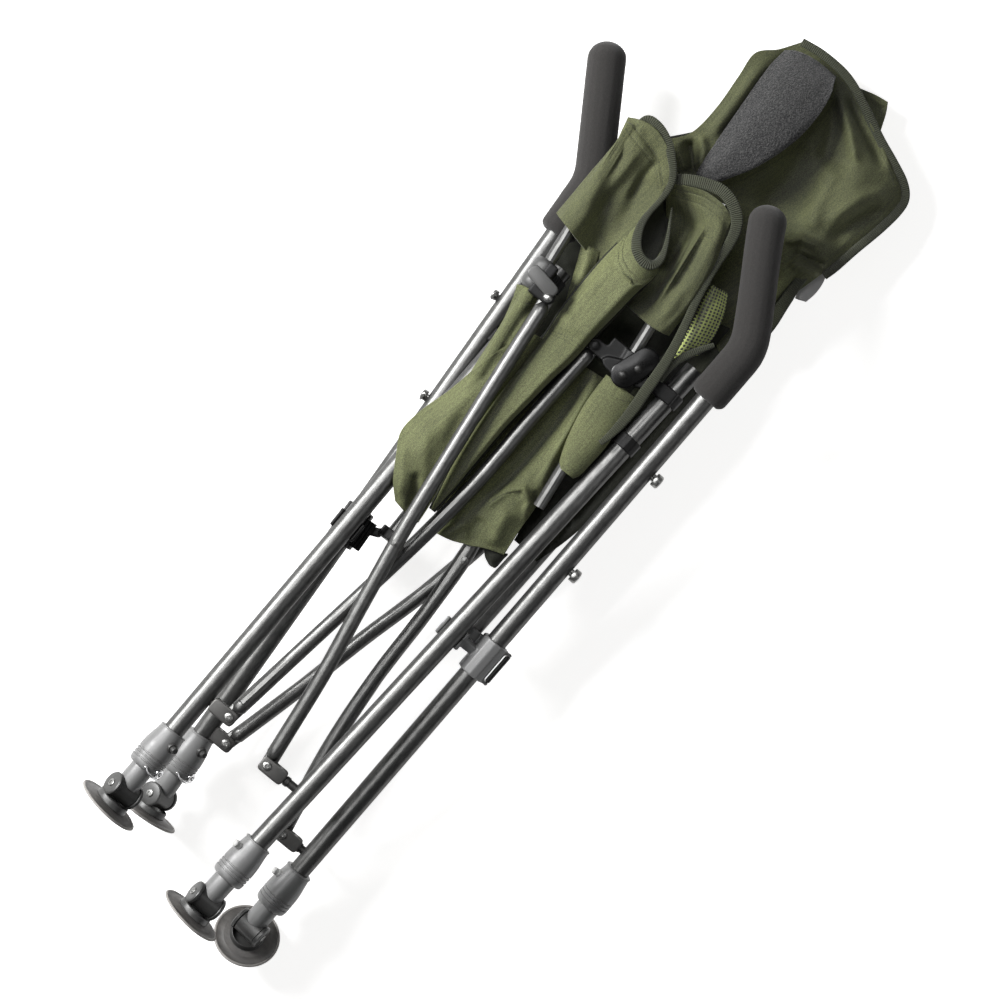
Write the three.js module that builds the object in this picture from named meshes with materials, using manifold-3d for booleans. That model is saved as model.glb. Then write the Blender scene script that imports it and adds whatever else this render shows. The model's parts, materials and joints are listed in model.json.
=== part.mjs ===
// A folding quad chair with padded arms, folded flat into a bundle and lying on the floor.
// Millimetres. +X runs along the bundle from the feet to the head, +Y to its left, +Z up.
import * as THREE from 'three';
import { mergeVertices } from 'three/addons/utils/BufferGeometryUtils.js';
import Module from 'manifold-3d';

const wasm = await Module();
wasm.setup();

// Driving sizes of the bundle
const frame_run = 1000;      // lower knuckles to the ends of the hand grips
const frame_spread = 200;    // left pair of legs to right pair
const floor_gap = 1;
const contact_gap = 0.4;     // between pieces that touch
const cut_overrun = 5;       // how far a cutting tool passes a face
const room_overrun = 20;     // how far the room for a tube passes the ring round it
const weld_distance = 1e-4;  // corners closer than this are one

// Legs
const leg_radius = 11;
const leg_wall = 1.4;
const leg_start = 58;        // from the foot pin to the outer tube's lower end
const leg_sides = 16;
const bend_radius = 60;
const bend_angle = THREE.MathUtils.degToRad(28.5);
const bend_steps = 4;

// Telescopic lower legs
const rod_radius = 9;
const rod_wall = 1.5;
const rod_end = 215;
const socket_radius = 12.5;
const socket_start = 13;
const socket_end = 44;
const socket_screw_radius = 2.2;
const socket_screw_rise = 1;
const socket_lip = 1;
const socket_collar = 6;        // height of the fork's round base
const rod_seat = 39;            // where the rod stands in its socket
const rod_stop = 3;
const rod_sides = 12;
const socket_sides = 12;
const fork_gap = 14;
const fork_cheek = 5;
const fork_radius = 12;
const fork_chamfer = 1;
const pin_rise = 1.5;          // foot pin beyond the fork's cheeks

// Collars that clamp the lower legs
const collar_length = 50;
const collar_start = 31;
const collar_top_radius = 14.5;
const collar_wide_radius = 18.5;
const collar_sides = 14;
const collar_shoulder_share = 0.65;
const collar_neck_share = 0.85;
const rib_radius = 1.1;
const rib_first = 7;
const rib_pitch = 5;
const rib_count = 3;
const housing_start = 26;
const housing_end = 45;
const housing_half = 8;
const housing_rise = 1.5;
const button_radius = 4;
const button_length = 7;
const button_rise = 3.5;
const button_crown = 1.2;
const button_sides = 10;
const button_place = collar_start + (housing_start + housing_end) / 2;

// Feet
const disc_radius = 36;
const disc_thickness = 3;
const disc_dish = 3;
const disc_edge = 1.5;
const disc_sides = 24;
const disc_flat_share = 0.35;
const hub_radius = 9;
const hub_step = 2;
const ankle_length = 22;     // foot pin to the middle of the disc
const foot_pin_radius = 3.5;
const eye_facets = 10;

// Layers of the bundle: the lower feet lie at level 0, the upper feet at level 1
const low_layer = disc_radius + floor_gap;
const disc_play = 2;
const foot_rise = 2 * disc_radius + disc_play;
const cloth_rise_share = 0.85135;
const cloth_height = low_layer + foot_rise * cloth_rise_share;   // the cloth's heights are shares of it

// Cross braces
const brace_radius = 8;
const brace_tab = 3;         // half thickness of the flattened ends
const brace_tab_length = 20;
const brace_sides = 12;
const brace_steps = 6;
const flat_share = 0.6;        // part of the flattened end that is fully flat
const end_round_share = 0.1;
const rivet_sides = 8;
const rivet_shoulder_share = 0.6;
const rivet_crown_share = 0.75;
const rivet_root = 1;
const rivet_radius = 2.6;
const rivet_head_radius = 5.5;
const rivet_head_rise = 2.2;
const eye_play = 4;          // room round the rivets of the pivots that stay open

// Brackets
const cheek_thickness = 3;
const eye_sides = 10;
const ring_sides = 12;
const facet_room_share = 1.03;   // a faceted bore is this much wider than its round tube
const clamp_wall = 2.4;
const clamp_length = 16;
const clevis_web = 5;
const cheek_play = 1.2;
const bracket_play = 2;
const stud_radius = 5;
const barrel_length = 24;
const barrel_wall = 4.5;
const plate_half_width = 10;
const plate_stretch = 3;
const plate_thickness = 4;
const plate_turn = 0.18;
const plate_sides = 12;

// Hand grips
const grip_radius = 21;
const grip_length = 208;
const grip_bore_end = 30;    // foam beyond the end of the tube
const grip_edge_share = 0.25;
const grip_end_share = 0.8;
const grip_end_shares = [0.2, 0.45, 0.7, 0.9];
const grip_before_bend = 70;
const grip_sides = 16;

// Seat rails and back uprights
const rail_radius = 6.5;
const upright_radius = 8;
const upright_cap = 12;
const cap_lip = 1;
const bar_sides = 12;
const upright_screw_shares = [0.159, 0.126];
const upright_screw_rise = 2.5;
const cap_wall = 1.6;
const screw_radius = 3.2;
const screw_head_radius = 5;
const screw_rise = 5;
const screw_head_rise = 3;

// Sleeves on the rear legs
const sleeve_length = 44;
const sleeve_wall = 4.5;
const lever_length = 34;
const lever_width = 16;
const lever_thickness = 3;
const lever_rib = 1.4;
const lever_ribs = 3;
const lever_pin_radius = 1.6;
const lever_barrel_radius = 2.8;
const lever_gap = 0.8;
const lug_thickness = 4;

// Cloth
const cloth_thickness = 3;
const panel_thickness = 8;
const binding_thickness = 2;
const strap_thickness = 4;
const roll_sides = 12;
const headrest_sides = 12;

// Materials
const paint = (name, color, roughness, metalness) =>
  new THREE.MeshStandardMaterial({ name, color, roughness, metalness });
const black_tube = paint('black_tube', 0x262523, 0.35, 0.6);
const grey_plastic = paint('grey_plastic', 0x6b6b6e, 0.55, 0);
const dark_plastic = paint('dark_plastic', 0x232222, 0.5, 0);
const bright_steel = paint('bright_steel', 0xc8c8c8, 0.25, 1);
const grey_foam = paint('grey_foam', 0x403e3c, 0.95, 0);
const green_cloth = paint('green_cloth', 0x6a6f4a, 0.9, 0);
const mesh_cloth = paint('mesh_cloth', 0x7c8a3c, 0.9, 0);
const fleece = paint('fleece', 0x4b4b4a, 1, 0);
const webbing = paint('webbing', 0x6d705c, 0.9, 0);

// Places along and across the bundle, from shares of its sizes
const along = (share) => frame_run * share;
const across = (share) => frame_spread * share;
const level = (share) => low_layer + foot_rise * share;
const place = (x_share, y_share, level_share) =>
  new THREE.Vector3(along(x_share), across(y_share), level(level_share));

// Closed solids from three.js geometry, and back
function solidOf(geometry) {
  const bare = geometry.index ? geometry.toNonIndexed() : geometry.clone();
  for (const name of Object.keys(bare.attributes)) if (name !== 'position') bare.deleteAttribute(name);
  const merged = mergeVertices(bare, weld_distance);
  const vertProperties = new Float32Array(merged.attributes.position.array);
  const corners = Array.from(merged.index.array);
  const triVerts = [];
  for (let i = 0; i < corners.length; i += 3) {
    const [a, b, c] = corners.slice(i, i + 3);
    if (a !== b && b !== c && c !== a) triVerts.push(a, b, c);
  }
  const build = (order) => new wasm.Manifold(
    new wasm.Mesh({ numProp: 3, vertProperties, triVerts: new Uint32Array(order) }));
  const solid = build(triVerts);
  if (solid.volume() > 0) return solid;
  const turned = [];
  for (let i = 0; i < triVerts.length; i += 3) turned.push(triVerts[i], triVerts[i + 2], triVerts[i + 1]);
  return build(turned);
}

function geometryOf(solid) {
  const { vertProperties, triVerts, numProp } = solid.getMesh();
  const points = new Float32Array((vertProperties.length / numProp) * 3);
  for (let i = 0; i < points.length / 3; i += 1) {
    for (let k = 0; k < 3; k += 1) points[3 * i + k] = vertProperties[numProp * i + k];
  }
  const geometry = new THREE.BufferGeometry();
  geometry.setAttribute('position', new THREE.BufferAttribute(points, 3));
  geometry.setIndex(new THREE.BufferAttribute(new Uint32Array(triVerts), 1));
  geometry.computeVertexNormals();
  return geometry;
}

const join = (first, ...rest) => rest.reduce((sum, solid) => sum.add(solid), first);
const cut = (first, ...rest) => rest.reduce((left, solid) => left.subtract(solid), first);

function meshOf(name, solid, material, parent) {
  const mesh = new THREE.Mesh(geometryOf(solid), material);
  mesh.name = name;
  parent.add(mesh);
  return mesh;
}

// A body of revolution about X, from its profile of [distance along X, radius]
function turned(profile, sides) {
  const points = profile.map(([x, r]) => new THREE.Vector2(r, x));
  return new THREE.LatheGeometry(points, sides).rotateZ(-Math.PI / 2);
}

const rod = (start, end, radius, sides) =>
  turned([[start, 0], [start, radius], [end, radius], [end, 0]], sides);

// A short cylinder about Z
const post = (x, y, low, high, radius, sides) =>
  new THREE.CylinderGeometry(radius, radius, high - low, sides)
    .rotateX(Math.PI / 2).translate(x, y, (low + high) / 2);

const block = (x0, x1, y0, y1, z0, z1) =>
  new THREE.BoxGeometry(x1 - x0, y1 - y0, z1 - z0)
    .translate((x0 + x1) / 2, (y0 + y1) / 2, (z0 + z1) / 2);

// A low dome about Z, for rivet and screw heads
function dome(x, y, z, radius, rise, up) {
  const profile = [[0, 0], [0, radius], [rise * rivet_shoulder_share, radius * rivet_crown_share], [rise, 0]];
  const head = turned(profile, rivet_sides).rotateY(up ? -Math.PI / 2 : Math.PI / 2);
  return head.translate(x, y, z);
}

// Bends a geometry made along +X so that its X distance runs along a curve
function follow(geometry, curve, up = new THREE.Vector3(0, 0, 1)) {
  const length = curve.getLength();
  const position = geometry.attributes.position;
  for (let i = 0; i < position.count; i += 1) {
    const x = position.getX(i);
    const share = THREE.MathUtils.clamp(x / length, 0, 1);
    const tangent = curve.getTangentAt(share).normalize();
    const side = up.clone().cross(tangent).normalize();
    const lift = tangent.clone().cross(side);
    const point = curve.getPointAt(share)
      .addScaledVector(tangent, x - share * length)
      .addScaledVector(side, position.getY(i))
      .addScaledVector(lift, position.getZ(i));
    position.setXYZ(i, point.x, point.y, point.z);
  }
  return geometry;
}

// A group whose +X axis runs from one point to another
function axisGroup(from, to, roll, parent) {
  const x = to.clone().sub(from).normalize();
  const y = new THREE.Vector3(0, 0, 1).cross(x).normalize();
  const z = x.clone().cross(y);
  const group = new THREE.Group();
  group.position.copy(from);
  group.quaternion.setFromRotationMatrix(new THREE.Matrix4().makeBasis(x, y, z));
  group.rotateX(roll);
  parent.add(group);
  return group;
}

const chair = new THREE.Group();

// The four legs: where the foot pin and the straight tube's upper end lie
const legs = {
  front_left: {
    foot: place(-0.482, 0.55, 1),
    top: place(0.229, 0.52, 0.284),
    tilt: -10, pin_roll: 35, bent: false, button: 0.7,
  },
  rear_left: {
    foot: place(-0.475, 0.4, 0),
    top: place(0.254, 0.668, 0.203),
    tilt: 0, pin_roll: 60, bent: true, button: 0.7, roll: 0, screw_shares: [0.164, 0.034], screw_side: -80,
  },
  front_right: {
    foot: place(-0.516, -0.145, 1),
    top: place(0.236, -0.355, 0.5),
    tilt: -8, pin_roll: 20, bent: false, button: -0.9,
  },
  rear_right: {
    foot: place(-0.52, -0.4225, 0.036),
    top: place(0.216, -0.4925, 0.946),
    tilt: -50, pin_roll: 0, bent: true, button: -0.9, roll: -12, screw_shares: [0.121, -0.01], screw_side: 95,
  },
};

for (const leg of Object.values(legs)) {
  leg.length = leg.foot.distanceTo(leg.top);
  leg.direction = leg.top.clone().sub(leg.foot).normalize();
  leg.at = (x) => leg.foot.clone().addScaledVector(leg.direction, (x - leg.foot.x) / leg.direction.x);
}

// The line that a leg's tube follows in its own axes: straight, and bent at the grip if it has one
function legLine(leg) {
  const line = new THREE.CurvePath();
  const start = new THREE.Vector3(0, 0, 0);
  if (!leg.bent) {
    line.add(new THREE.LineCurve3(start, new THREE.Vector3(leg.length, 0, 0)));
    return line;
  }
  const reach = bend_radius * Math.tan(bend_angle / 2);
  const corner = new THREE.Vector3(leg.length + grip_before_bend, 0, 0);
  const before = corner.clone().add(new THREE.Vector3(-reach, 0, 0));
  const out = new THREE.Vector3(Math.cos(bend_angle), Math.sin(bend_angle), 0);
  const after = corner.clone().addScaledVector(out, reach);
  const end = corner.clone().addScaledVector(out, grip_length);
  line.add(new THREE.LineCurve3(start, before));
  line.add(new THREE.QuadraticBezierCurve3(before, corner, after));
  line.add(new THREE.LineCurve3(after, end));
  return line;
}

// Distances along a bent tube where it needs a ring of points
function bendStations(leg, end) {
  const reach = bend_radius * Math.tan(bend_angle / 2);
  const first = leg.length + grip_before_bend - reach;
  const stations = [];
  for (let i = 0; i <= bend_steps; i += 1) stations.push(first + (2 * reach * i) / bend_steps);
  return stations.filter((x) => x < end);
}

function legTube(name, leg, group) {
  const end = leg.bent ? leg.length + grip_length - grip_bore_end : leg.length;
  const outside = [leg_start, ...(leg.bent ? bendStations(leg, end) : []), end];
  const bore_end = leg.length - leg_radius;
  const bore_radius = leg_radius - leg_wall;
  const profile = [...outside.map((x) => [x, leg_radius]), [end, 0],
    [bore_end, 0], [bore_end, bore_radius], [leg_start, bore_radius], [leg_start, leg_radius]];
  const tube = follow(turned(profile, leg_sides), legLine(leg));
  const screws = (leg.screw_shares ?? []).map((x_share) => {
    const x = leg.foot.distanceTo(leg.at(along(x_share)));
    const shank = post(x, 0, leg_radius - leg_wall / 2, leg_radius + screw_rise, screw_radius, rivet_sides);
    const head = dome(x, 0, leg_radius + screw_rise, screw_head_radius, screw_head_rise, true);
    return solidOf(shank).add(solidOf(head)).rotate([leg.screw_side, 0, 0]);
  });
  meshOf(`leg_${name}`, join(solidOf(tube), ...screws), black_tube, group);
}

function grip(name, leg, group) {
  const start = leg.length;
  const end = start + grip_length;
  const edge = grip_radius * grip_edge_share;
  const crown = grip_radius * grip_end_share;
  const bends = bendStations(leg, end);
  const round = grip_end_shares.map((s) => {
    const a = s * Math.PI / 2;
    return [end - crown * (1 - Math.sin(a)), grip_radius * Math.cos(a)];
  });
  const profile = [
    [start, 0], [start, grip_radius - edge], [start + edge, grip_radius],
    ...bends.map((x) => [x, grip_radius]), [end - crown, grip_radius], ...round, [end, 0],
  ];
  const foam = follow(turned(profile, grip_sides), legLine(leg));
  const bore_end = end - grip_bore_end + contact_gap;
  const bore_stations = [[start - cut_overrun, 0], [start - cut_overrun, leg_radius + contact_gap],
    ...bends.map((x) => [x, leg_radius + contact_gap]), [bore_end, leg_radius + contact_gap], [bore_end, 0]];
  const bore = follow(turned(bore_stations, leg_sides), legLine(leg));
  meshOf(`grip_${name}`, cut(solidOf(foam), solidOf(bore)), grey_foam, group);
}

// The clamp collar, ribbed near its lower end, with a flat-topped housing for its button
function collar(name, leg, group) {
  const end = collar_start + collar_length;
  const bore = leg_radius + contact_gap;
  const mouth = socket_radius + contact_gap;
  const seat = leg_start - contact_gap;
  const ribs = [];
  for (let i = 0; i < rib_count; i += 1) {
    const x = collar_start + rib_first + rib_pitch * i;
    ribs.push([x, collar_wide_radius], [x + rib_pitch / 2, collar_wide_radius - rib_radius]);
  }
  const body = turned([
    [collar_start, mouth], [collar_start, collar_wide_radius - 2 * rib_radius],
    [collar_start + 2 * rib_radius, collar_wide_radius - rib_radius], ...ribs,
    [collar_start + collar_length * collar_shoulder_share, collar_wide_radius - 2 * rib_radius],
    [collar_start + collar_length * collar_neck_share, collar_top_radius + rib_radius],
    [end - rib_radius, collar_top_radius], [end, collar_top_radius - rib_radius],
    [end, bore], [seat, bore], [seat, mouth], [collar_start, mouth],
  ], collar_sides);
  const top = collar_wide_radius + housing_rise;
  const housing = block(collar_start + housing_start, collar_start + housing_end,
    -housing_half, housing_half, 0, top);
  const room = rod(collar_start - cut_overrun, end + cut_overrun, mouth, collar_sides);
  const hole = post(button_place, 0, leg_radius, top + cut_overrun, button_radius + contact_gap,
    button_sides);
  const lug = cut(solidOf(housing.rotateX(leg.button)), solidOf(room));
  meshOf(`collar_${name}`, cut(join(solidOf(body), lug), solidOf(hole.rotateX(leg.button))),
    grey_plastic, group);
}

// The sprung button stands in its hole in the collar
function lockButton(name, leg, group, material) {
  const top = collar_wide_radius + housing_rise + button_rise;
  const profile = [[top - button_length, 0], [top - button_length, button_radius], [top, button_radius],
    [top + button_crown, button_radius * rivet_crown_share], [top + button_crown, 0]];
  const button = turned(profile, button_sides).rotateY(-Math.PI / 2);
  const mesh = meshOf(`lock_button_${name}`, solidOf(button), material, group);
  mesh.position.x = button_place;
  mesh.rotation.x = leg.button;
}

// The telescopic rod, and the socket with its fork below it
function lowerLeg(name, leg, group) {
  const inner = rod_radius - rod_wall;
  const tube = turned([[rod_seat, inner], [rod_seat, rod_radius], [rod_end, rod_radius], [rod_end, 0],
    [rod_end - rod_stop, 0], [rod_end - rod_stop, inner], [rod_seat, inner]], rod_sides);
  meshOf(`lower_leg_${name}`, solidOf(tube), black_tube, group);
  const half = fork_gap / 2;
  const seat = rod_seat - contact_gap;
  const bore = rod_radius + contact_gap;
  const barrel = turned([[socket_start, 0], [socket_start, socket_radius],
    [socket_end, socket_radius - socket_lip / 2], [socket_end, bore], [seat, bore], [seat, 0]], socket_sides);
  const cheek = (side) => {
    const low = side > 0 ? half : -half - fork_cheek;
    const width = fork_radius - fork_chamfer;
    const eye = post(0, 0, low, low + fork_cheek, fork_radius, eye_facets);
    const arm = block(0, socket_start + socket_lip, -width, width, low, low + fork_cheek);
    return join(solidOf(eye), solidOf(arm));
  };
  const ring = rod(socket_start - socket_lip, socket_start + socket_collar, half + fork_cheek, socket_sides);
  const reach = half + fork_cheek + pin_rise;
  const pin = post(0, 0, -reach, reach, foot_pin_radius, rivet_sides);
  const screw_x = (socket_start + socket_collar + collar_start) / 2;
  const screw = dome(screw_x, 0, socket_radius - socket_screw_rise, socket_screw_radius,
    2 * socket_screw_rise, true);
  const fork = join(solidOf(barrel), solidOf(ring), cheek(1), cheek(-1), solidOf(pin), solidOf(screw));
  const mesh = meshOf(`knuckle_${name}`, fork, grey_plastic, group);
  mesh.rotation.x = THREE.MathUtils.degToRad(leg.pin_roll) - Math.PI / 2;
}

// The foot: a hub with an eye on the pin, and a thin dished disc
function foot(name, leg, group) {
  const sole = -ankle_length - disc_thickness / 2;
  const rim = -ankle_length;
  const crown = -ankle_length + disc_thickness / 2 + disc_dish;
  const dish = turned([
    [sole, 0], [sole, disc_radius * disc_flat_share], [sole + disc_edge / 2, disc_radius - disc_edge],
    [rim, disc_radius], [rim + disc_thickness / 2, disc_radius - disc_edge],
    [crown, hub_radius + hub_step], [crown + hub_step, hub_radius], [crown + hub_step, 0],
  ], disc_sides);
  const width = fork_gap / 2 - contact_gap;
  const neck_half = hub_radius - fork_chamfer;
  const eye = post(0, 0, -width, width, hub_radius, eye_facets);
  const neck = block(rim + disc_thickness, 0, -neck_half, neck_half, -width, width);
  const bore = post(0, 0, -fork_gap, fork_gap, foot_pin_radius + contact_gap, rivet_sides);
  const shape = cut(join(solidOf(dish), solidOf(eye), solidOf(neck)), solidOf(bore));
  const swivel = new THREE.Group();
  swivel.rotation.x = THREE.MathUtils.degToRad(leg.pin_roll) - Math.PI / 2;
  group.add(swivel);
  const mesh = meshOf(`foot_${name}`, shape, dark_plastic, swivel);
  mesh.rotation.z = THREE.MathUtils.degToRad(leg.tilt);
}

// Two flat cheeks that reach from a pivot to a root, with the rivet between them
function clevis(pivot, root_y, tab_half) {
  const gap = tab_half + cheek_play;
  const outer = gap + cheek_thickness;
  const width = brace_radius;
  const cheek = (low) => {
    const eye = post(pivot.x, pivot.y, low, low + cheek_thickness, width, eye_sides);
    const arm = block(pivot.x - width, pivot.x + width, Math.min(pivot.y, root_y),
      Math.max(pivot.y, root_y), low, low + cheek_thickness);
    return join(solidOf(eye), solidOf(arm));
  };
  const z = pivot.z;
  const side = Math.sign(root_y - pivot.y);
  const web = block(pivot.x - width, pivot.x + width, Math.min(root_y - side * clevis_web, root_y),
    Math.max(root_y - side * clevis_web, root_y), z - outer, z + outer);
  return join(cheek(z + gap), cheek(z - outer), solidOf(web),
    solidOf(post(pivot.x, pivot.y, z - gap - rivet_root, z + gap + rivet_root, rivet_radius, rivet_sides)),
    solidOf(dome(pivot.x, pivot.y, z + outer, rivet_head_radius, rivet_head_rise, true)),
    solidOf(dome(pivot.x, pivot.y, z - outer, rivet_head_radius, rivet_head_rise, false)));
}

// A ring round a straight tube, and the room that the tube needs in it
function ringOn(line, x, length, wall, radius = leg_radius) {
  const turn = new THREE.Quaternion().setFromUnitVectors(new THREE.Vector3(1, 0, 0), line.direction);
  const middle = line.at(x);
  const inner = radius + contact_gap;
  const set = (piece) => solidOf(piece.applyQuaternion(turn).translate(middle.x, middle.y, middle.z));
  return {
    middle,
    ring: set(rod(-length / 2, length / 2, inner + wall, ring_sides)),
    room: set(rod(-length / 2 - room_overrun, length / 2 + room_overrun,
      inner * facet_room_share, ring_sides)),
    set,
    direction: line.direction,
  };
}

// A square bar from one point to another
function beam(from, to, half) {
  const length = from.distanceTo(to);
  const bar = new THREE.BoxGeometry(length, 2 * half, 2 * half).translate(length / 2, 0, 0);
  const way = to.clone().sub(from).normalize();
  const turn = new THREE.Quaternion().setFromUnitVectors(new THREE.Vector3(1, 0, 0), way);
  return solidOf(bar.applyQuaternion(turn).translate(from.x, from.y, from.z));
}

// The bracket low on a leg that carries a brace, with its ring a little further up the leg
function lowerBracket(name, leg, pivot, ring_shift, material) {
  const { middle, ring, room } = ringOn(leg, pivot.x + ring_shift, clamp_length, clamp_wall);
  const side = Math.sign(middle.y - pivot.y);
  const root = pivot.y + side * (brace_radius + clevis_web + bracket_play);
  const from = new THREE.Vector3(pivot.x, root - side * clevis_web / 2, pivot.z);
  const body = join(clevis(pivot, root, brace_tab), beam(from, middle, stud_radius), ring);
  meshOf(`lower_bracket_${name}`, cut(body, room), material, chair);
}

// A cross brace: a bent tube with flattened ends, whose far eye is wide enough to stay open
function brace(name, points, rivet, rivet_drop = 0) {
  const pivot = points[0];
  const local = points.map((p) => p.clone().sub(pivot));
  const line = new THREE.CatmullRomCurve3(local, false, 'centripetal');
  const length = line.getLength();
  const tip = brace_radius - contact_gap;
  const flat_end = brace_tab_length * flat_share;
  const middle = [];
  for (let i = 0; i <= brace_steps; i += 1) {
    middle.push(brace_tab_length + ((length - 2 * brace_tab_length) * i) / brace_steps);
  }
  const near = [-tip, -tip * flat_share, 0, flat_end];
  const stations = [...near, ...middle, ...near.map((x) => length - x).reverse()];
  const profile = [[stations[0], 0], ...stations.map((x) => [x, brace_radius]), [stations.at(-1), 0]];
  const bar = turned(profile, brace_sides);
  const position = bar.attributes.position;
  for (let i = 0; i < position.count; i += 1) {
    const x = position.getX(i);
    const inward = Math.min(x, length - x);
    const swell = THREE.MathUtils.smoothstep(inward, flat_end, brace_tab_length);
    const past = Math.max(0, -inward) / tip;
    position.setY(i, position.getY(i) * Math.sqrt(Math.max(end_round_share, 1 - past * past)));
    position.setZ(i, position.getZ(i) * THREE.MathUtils.lerp(brace_tab / brace_radius, 1, swell));
  }
  follow(bar, line);
  const far = local.at(-1);
  const holes = [post(0, 0, -brace_radius, brace_radius, rivet_radius + contact_gap, rivet_sides),
    post(far.x, far.y, far.z - brace_radius, far.z + brace_radius, rivet_radius + eye_play, brace_sides)];
  let body = cut(solidOf(bar), ...holes.map(solidOf));
  if (rivet) {
    const at = rivet.clone().sub(pivot);
    const high = at.z + brace_radius - rivet_head_rise / 2;
    const peg = post(at.x, at.y, at.z - brace_radius - rivet_drop, high, rivet_radius, rivet_sides);
    const head = dome(at.x, at.y, high, rivet_head_radius, rivet_head_rise, true);
    body = join(body, solidOf(peg), solidOf(head));
  }
  const mesh = meshOf(`brace_${name}`, body, black_tube, chair);
  mesh.position.copy(pivot);
}

// A straight line with the same helpers as a leg
function straight(from, to) {
  const direction = to.clone().sub(from).normalize();
  const at = (x) => from.clone().addScaledVector(direction, (x - from.x) / direction.x);
  return { from, to, direction, at, length: from.distanceTo(to) };
}

// Cloth: a sheet through rows of points, thickened to a closed solid
function sheet(name, rows, thickness, steps_along, steps_across, material) {
  const curve = (points) => new THREE.CatmullRomCurve3(points, false, 'centripetal');
  const columns = rows[0].map((_, i) => curve(rows.map((row) => row[i])));
  const grid = [];
  for (let j = 0; j <= steps_along; j += 1) {
    const row = curve(columns.map((column) => column.getPoint(j / steps_along)));
    grid.push(Array.from({ length: steps_across + 1 }, (_, i) => row.getPoint(i / steps_across)));
  }
  const wide = steps_across + 1;
  const points = [];
  for (const side of [0.5, -0.5]) {
    for (let j = 0; j <= steps_along; j += 1) {
      for (let i = 0; i <= steps_across; i += 1) {
        const down = grid[Math.min(j + 1, steps_along)][i].clone().sub(grid[Math.max(j - 1, 0)][i]);
        const over = grid[j][Math.min(i + 1, steps_across)].clone().sub(grid[j][Math.max(i - 1, 0)]);
        const normal = over.cross(down).normalize();
        points.push(...grid[j][i].clone().addScaledVector(normal, side * thickness).toArray());
      }
    }
  }
  const below = wide * (steps_along + 1);
  const faces = [];
  const quad = (a, b, c, d) => faces.push(a, b, c, a, c, d);
  for (let j = 0; j < steps_along; j += 1) {
    for (let i = 0; i < steps_across; i += 1) {
      const a = j * wide + i;
      quad(a, a + 1, a + wide + 1, a + wide);
      quad(below + a, below + a + wide, below + a + wide + 1, below + a + 1);
    }
  }
  const edge = [];
  for (let i = 0; i < steps_across; i += 1) edge.push(i);
  for (let j = 0; j < steps_along; j += 1) edge.push(j * wide + steps_across);
  for (let i = steps_across; i > 0; i -= 1) edge.push(steps_along * wide + i);
  for (let j = steps_along; j > 0; j -= 1) edge.push(j * wide);
  edge.forEach((a, k) => {
    const b = edge[(k + 1) % edge.length];
    quad(a, below + a, below + b, b);
  });
  const geometry = new THREE.BufferGeometry();
  geometry.setAttribute('position', new THREE.Float32BufferAttribute(points, 3));
  geometry.setIndex(faces);
  return meshOf(name, solidOf(geometry), material, chair);
}

// Points of a sheet from shares: along the run, across the spread, and up the cloth's height
const rowsOf = (shares) => shares.map((row) =>
  row.map(([x, y, z]) => new THREE.Vector3(along(x), across(y), cloth_height * z)));

// A closed loft of oval rings that stand square to the bundle
function loft(stations, sides, shrink = 0) {
  const points = [];
  for (const { x, y, z, wide, high, lean } of stations) {
    for (let i = 0; i < sides; i += 1) {
      const a = (2 * Math.PI * i) / sides;
      const across_ring = (wide - shrink) * Math.cos(a);
      points.push(x + lean * Math.cos(a), y + across_ring, z + (high - shrink) * Math.sin(a));
    }
  }
  const last = stations.length - 1;
  const centre = (s) => [s.x, s.y, s.z];
  const first_tip = points.length / 3;
  points.push(...centre(stations[0]), ...centre(stations[last]));
  const faces = [];
  for (let s = 0; s < last; s += 1) {
    for (let i = 0; i < sides; i += 1) {
      const a = s * sides + i;
      const b = s * sides + ((i + 1) % sides);
      faces.push(a, b, b + sides, a, b + sides, a + sides);
    }
  }
  for (let i = 0; i < sides; i += 1) {
    const next = (i + 1) % sides;
    faces.push(first_tip, next, i, first_tip + 1, last * sides + i, last * sides + next);
  }
  const geometry = new THREE.BufferGeometry();
  geometry.setAttribute('position', new THREE.Float32BufferAttribute(points, 3));
  geometry.setIndex(faces);
  return solidOf(geometry);
}

const stationsOf = (shares) => shares.map(([x, y, z, wide, high, lean]) => ({
  x: along(x), y: across(y), z: cloth_height * z,
  wide: across(wide), high: cloth_height * high, lean: along(lean),
}));

// Build the legs
const lockings = { front_left: bright_steel, rear_left: bright_steel };
for (const [name, leg] of Object.entries(legs)) {
  const group = axisGroup(leg.foot, leg.top, THREE.MathUtils.degToRad(leg.roll ?? 0), chair);
  legTube(name, leg, group);
  collar(name, leg, group);
  lockButton(name, leg, group, lockings[name] ?? grey_plastic);
  lowerLeg(name, leg, group);
  foot(name, leg, group);
  if (leg.bent) grip(name, leg, group);
}

// Where the braces pivot, a little above the collars, and where they bend
const pivot_gaps = { front_left: 47, rear_left: 9, front_right: 67.5, rear_right: 19 };
const pivot_shares = { front_left: 0.37, rear_left: 0.3, front_right: 0.055, rear_right: -0.235 };
const pivots = {};
for (const [name, leg] of Object.entries(legs)) {
  const x = leg.foot.x + collar_start + collar_length + pivot_gaps[name];
  pivots[name] = new THREE.Vector3(x, across(pivot_shares[name]), leg.at(x).z);
}
const brace_level_shares = { low: 0.0135, low_over: 0.284, high: 0.662, high_over: 0.946 };
const layer_drop = (over, under) => level(over) - level(under) - 2 * brace_radius;
const front_tip_left = place(0.194, 0.475, 1);
const front_tip_right = place(0.188, 0.13, 0.716);
const rear_tip_left = place(0.13, 0.38, 0.311);
const rear_tip_right = place(0.13, -0.16, 0.122);
const front_crossing = place(-0.104, 0.275, brace_level_shares.high_over);
const rear_crossing = place(-0.073, -0.06, brace_level_shares.low_over);

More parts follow.
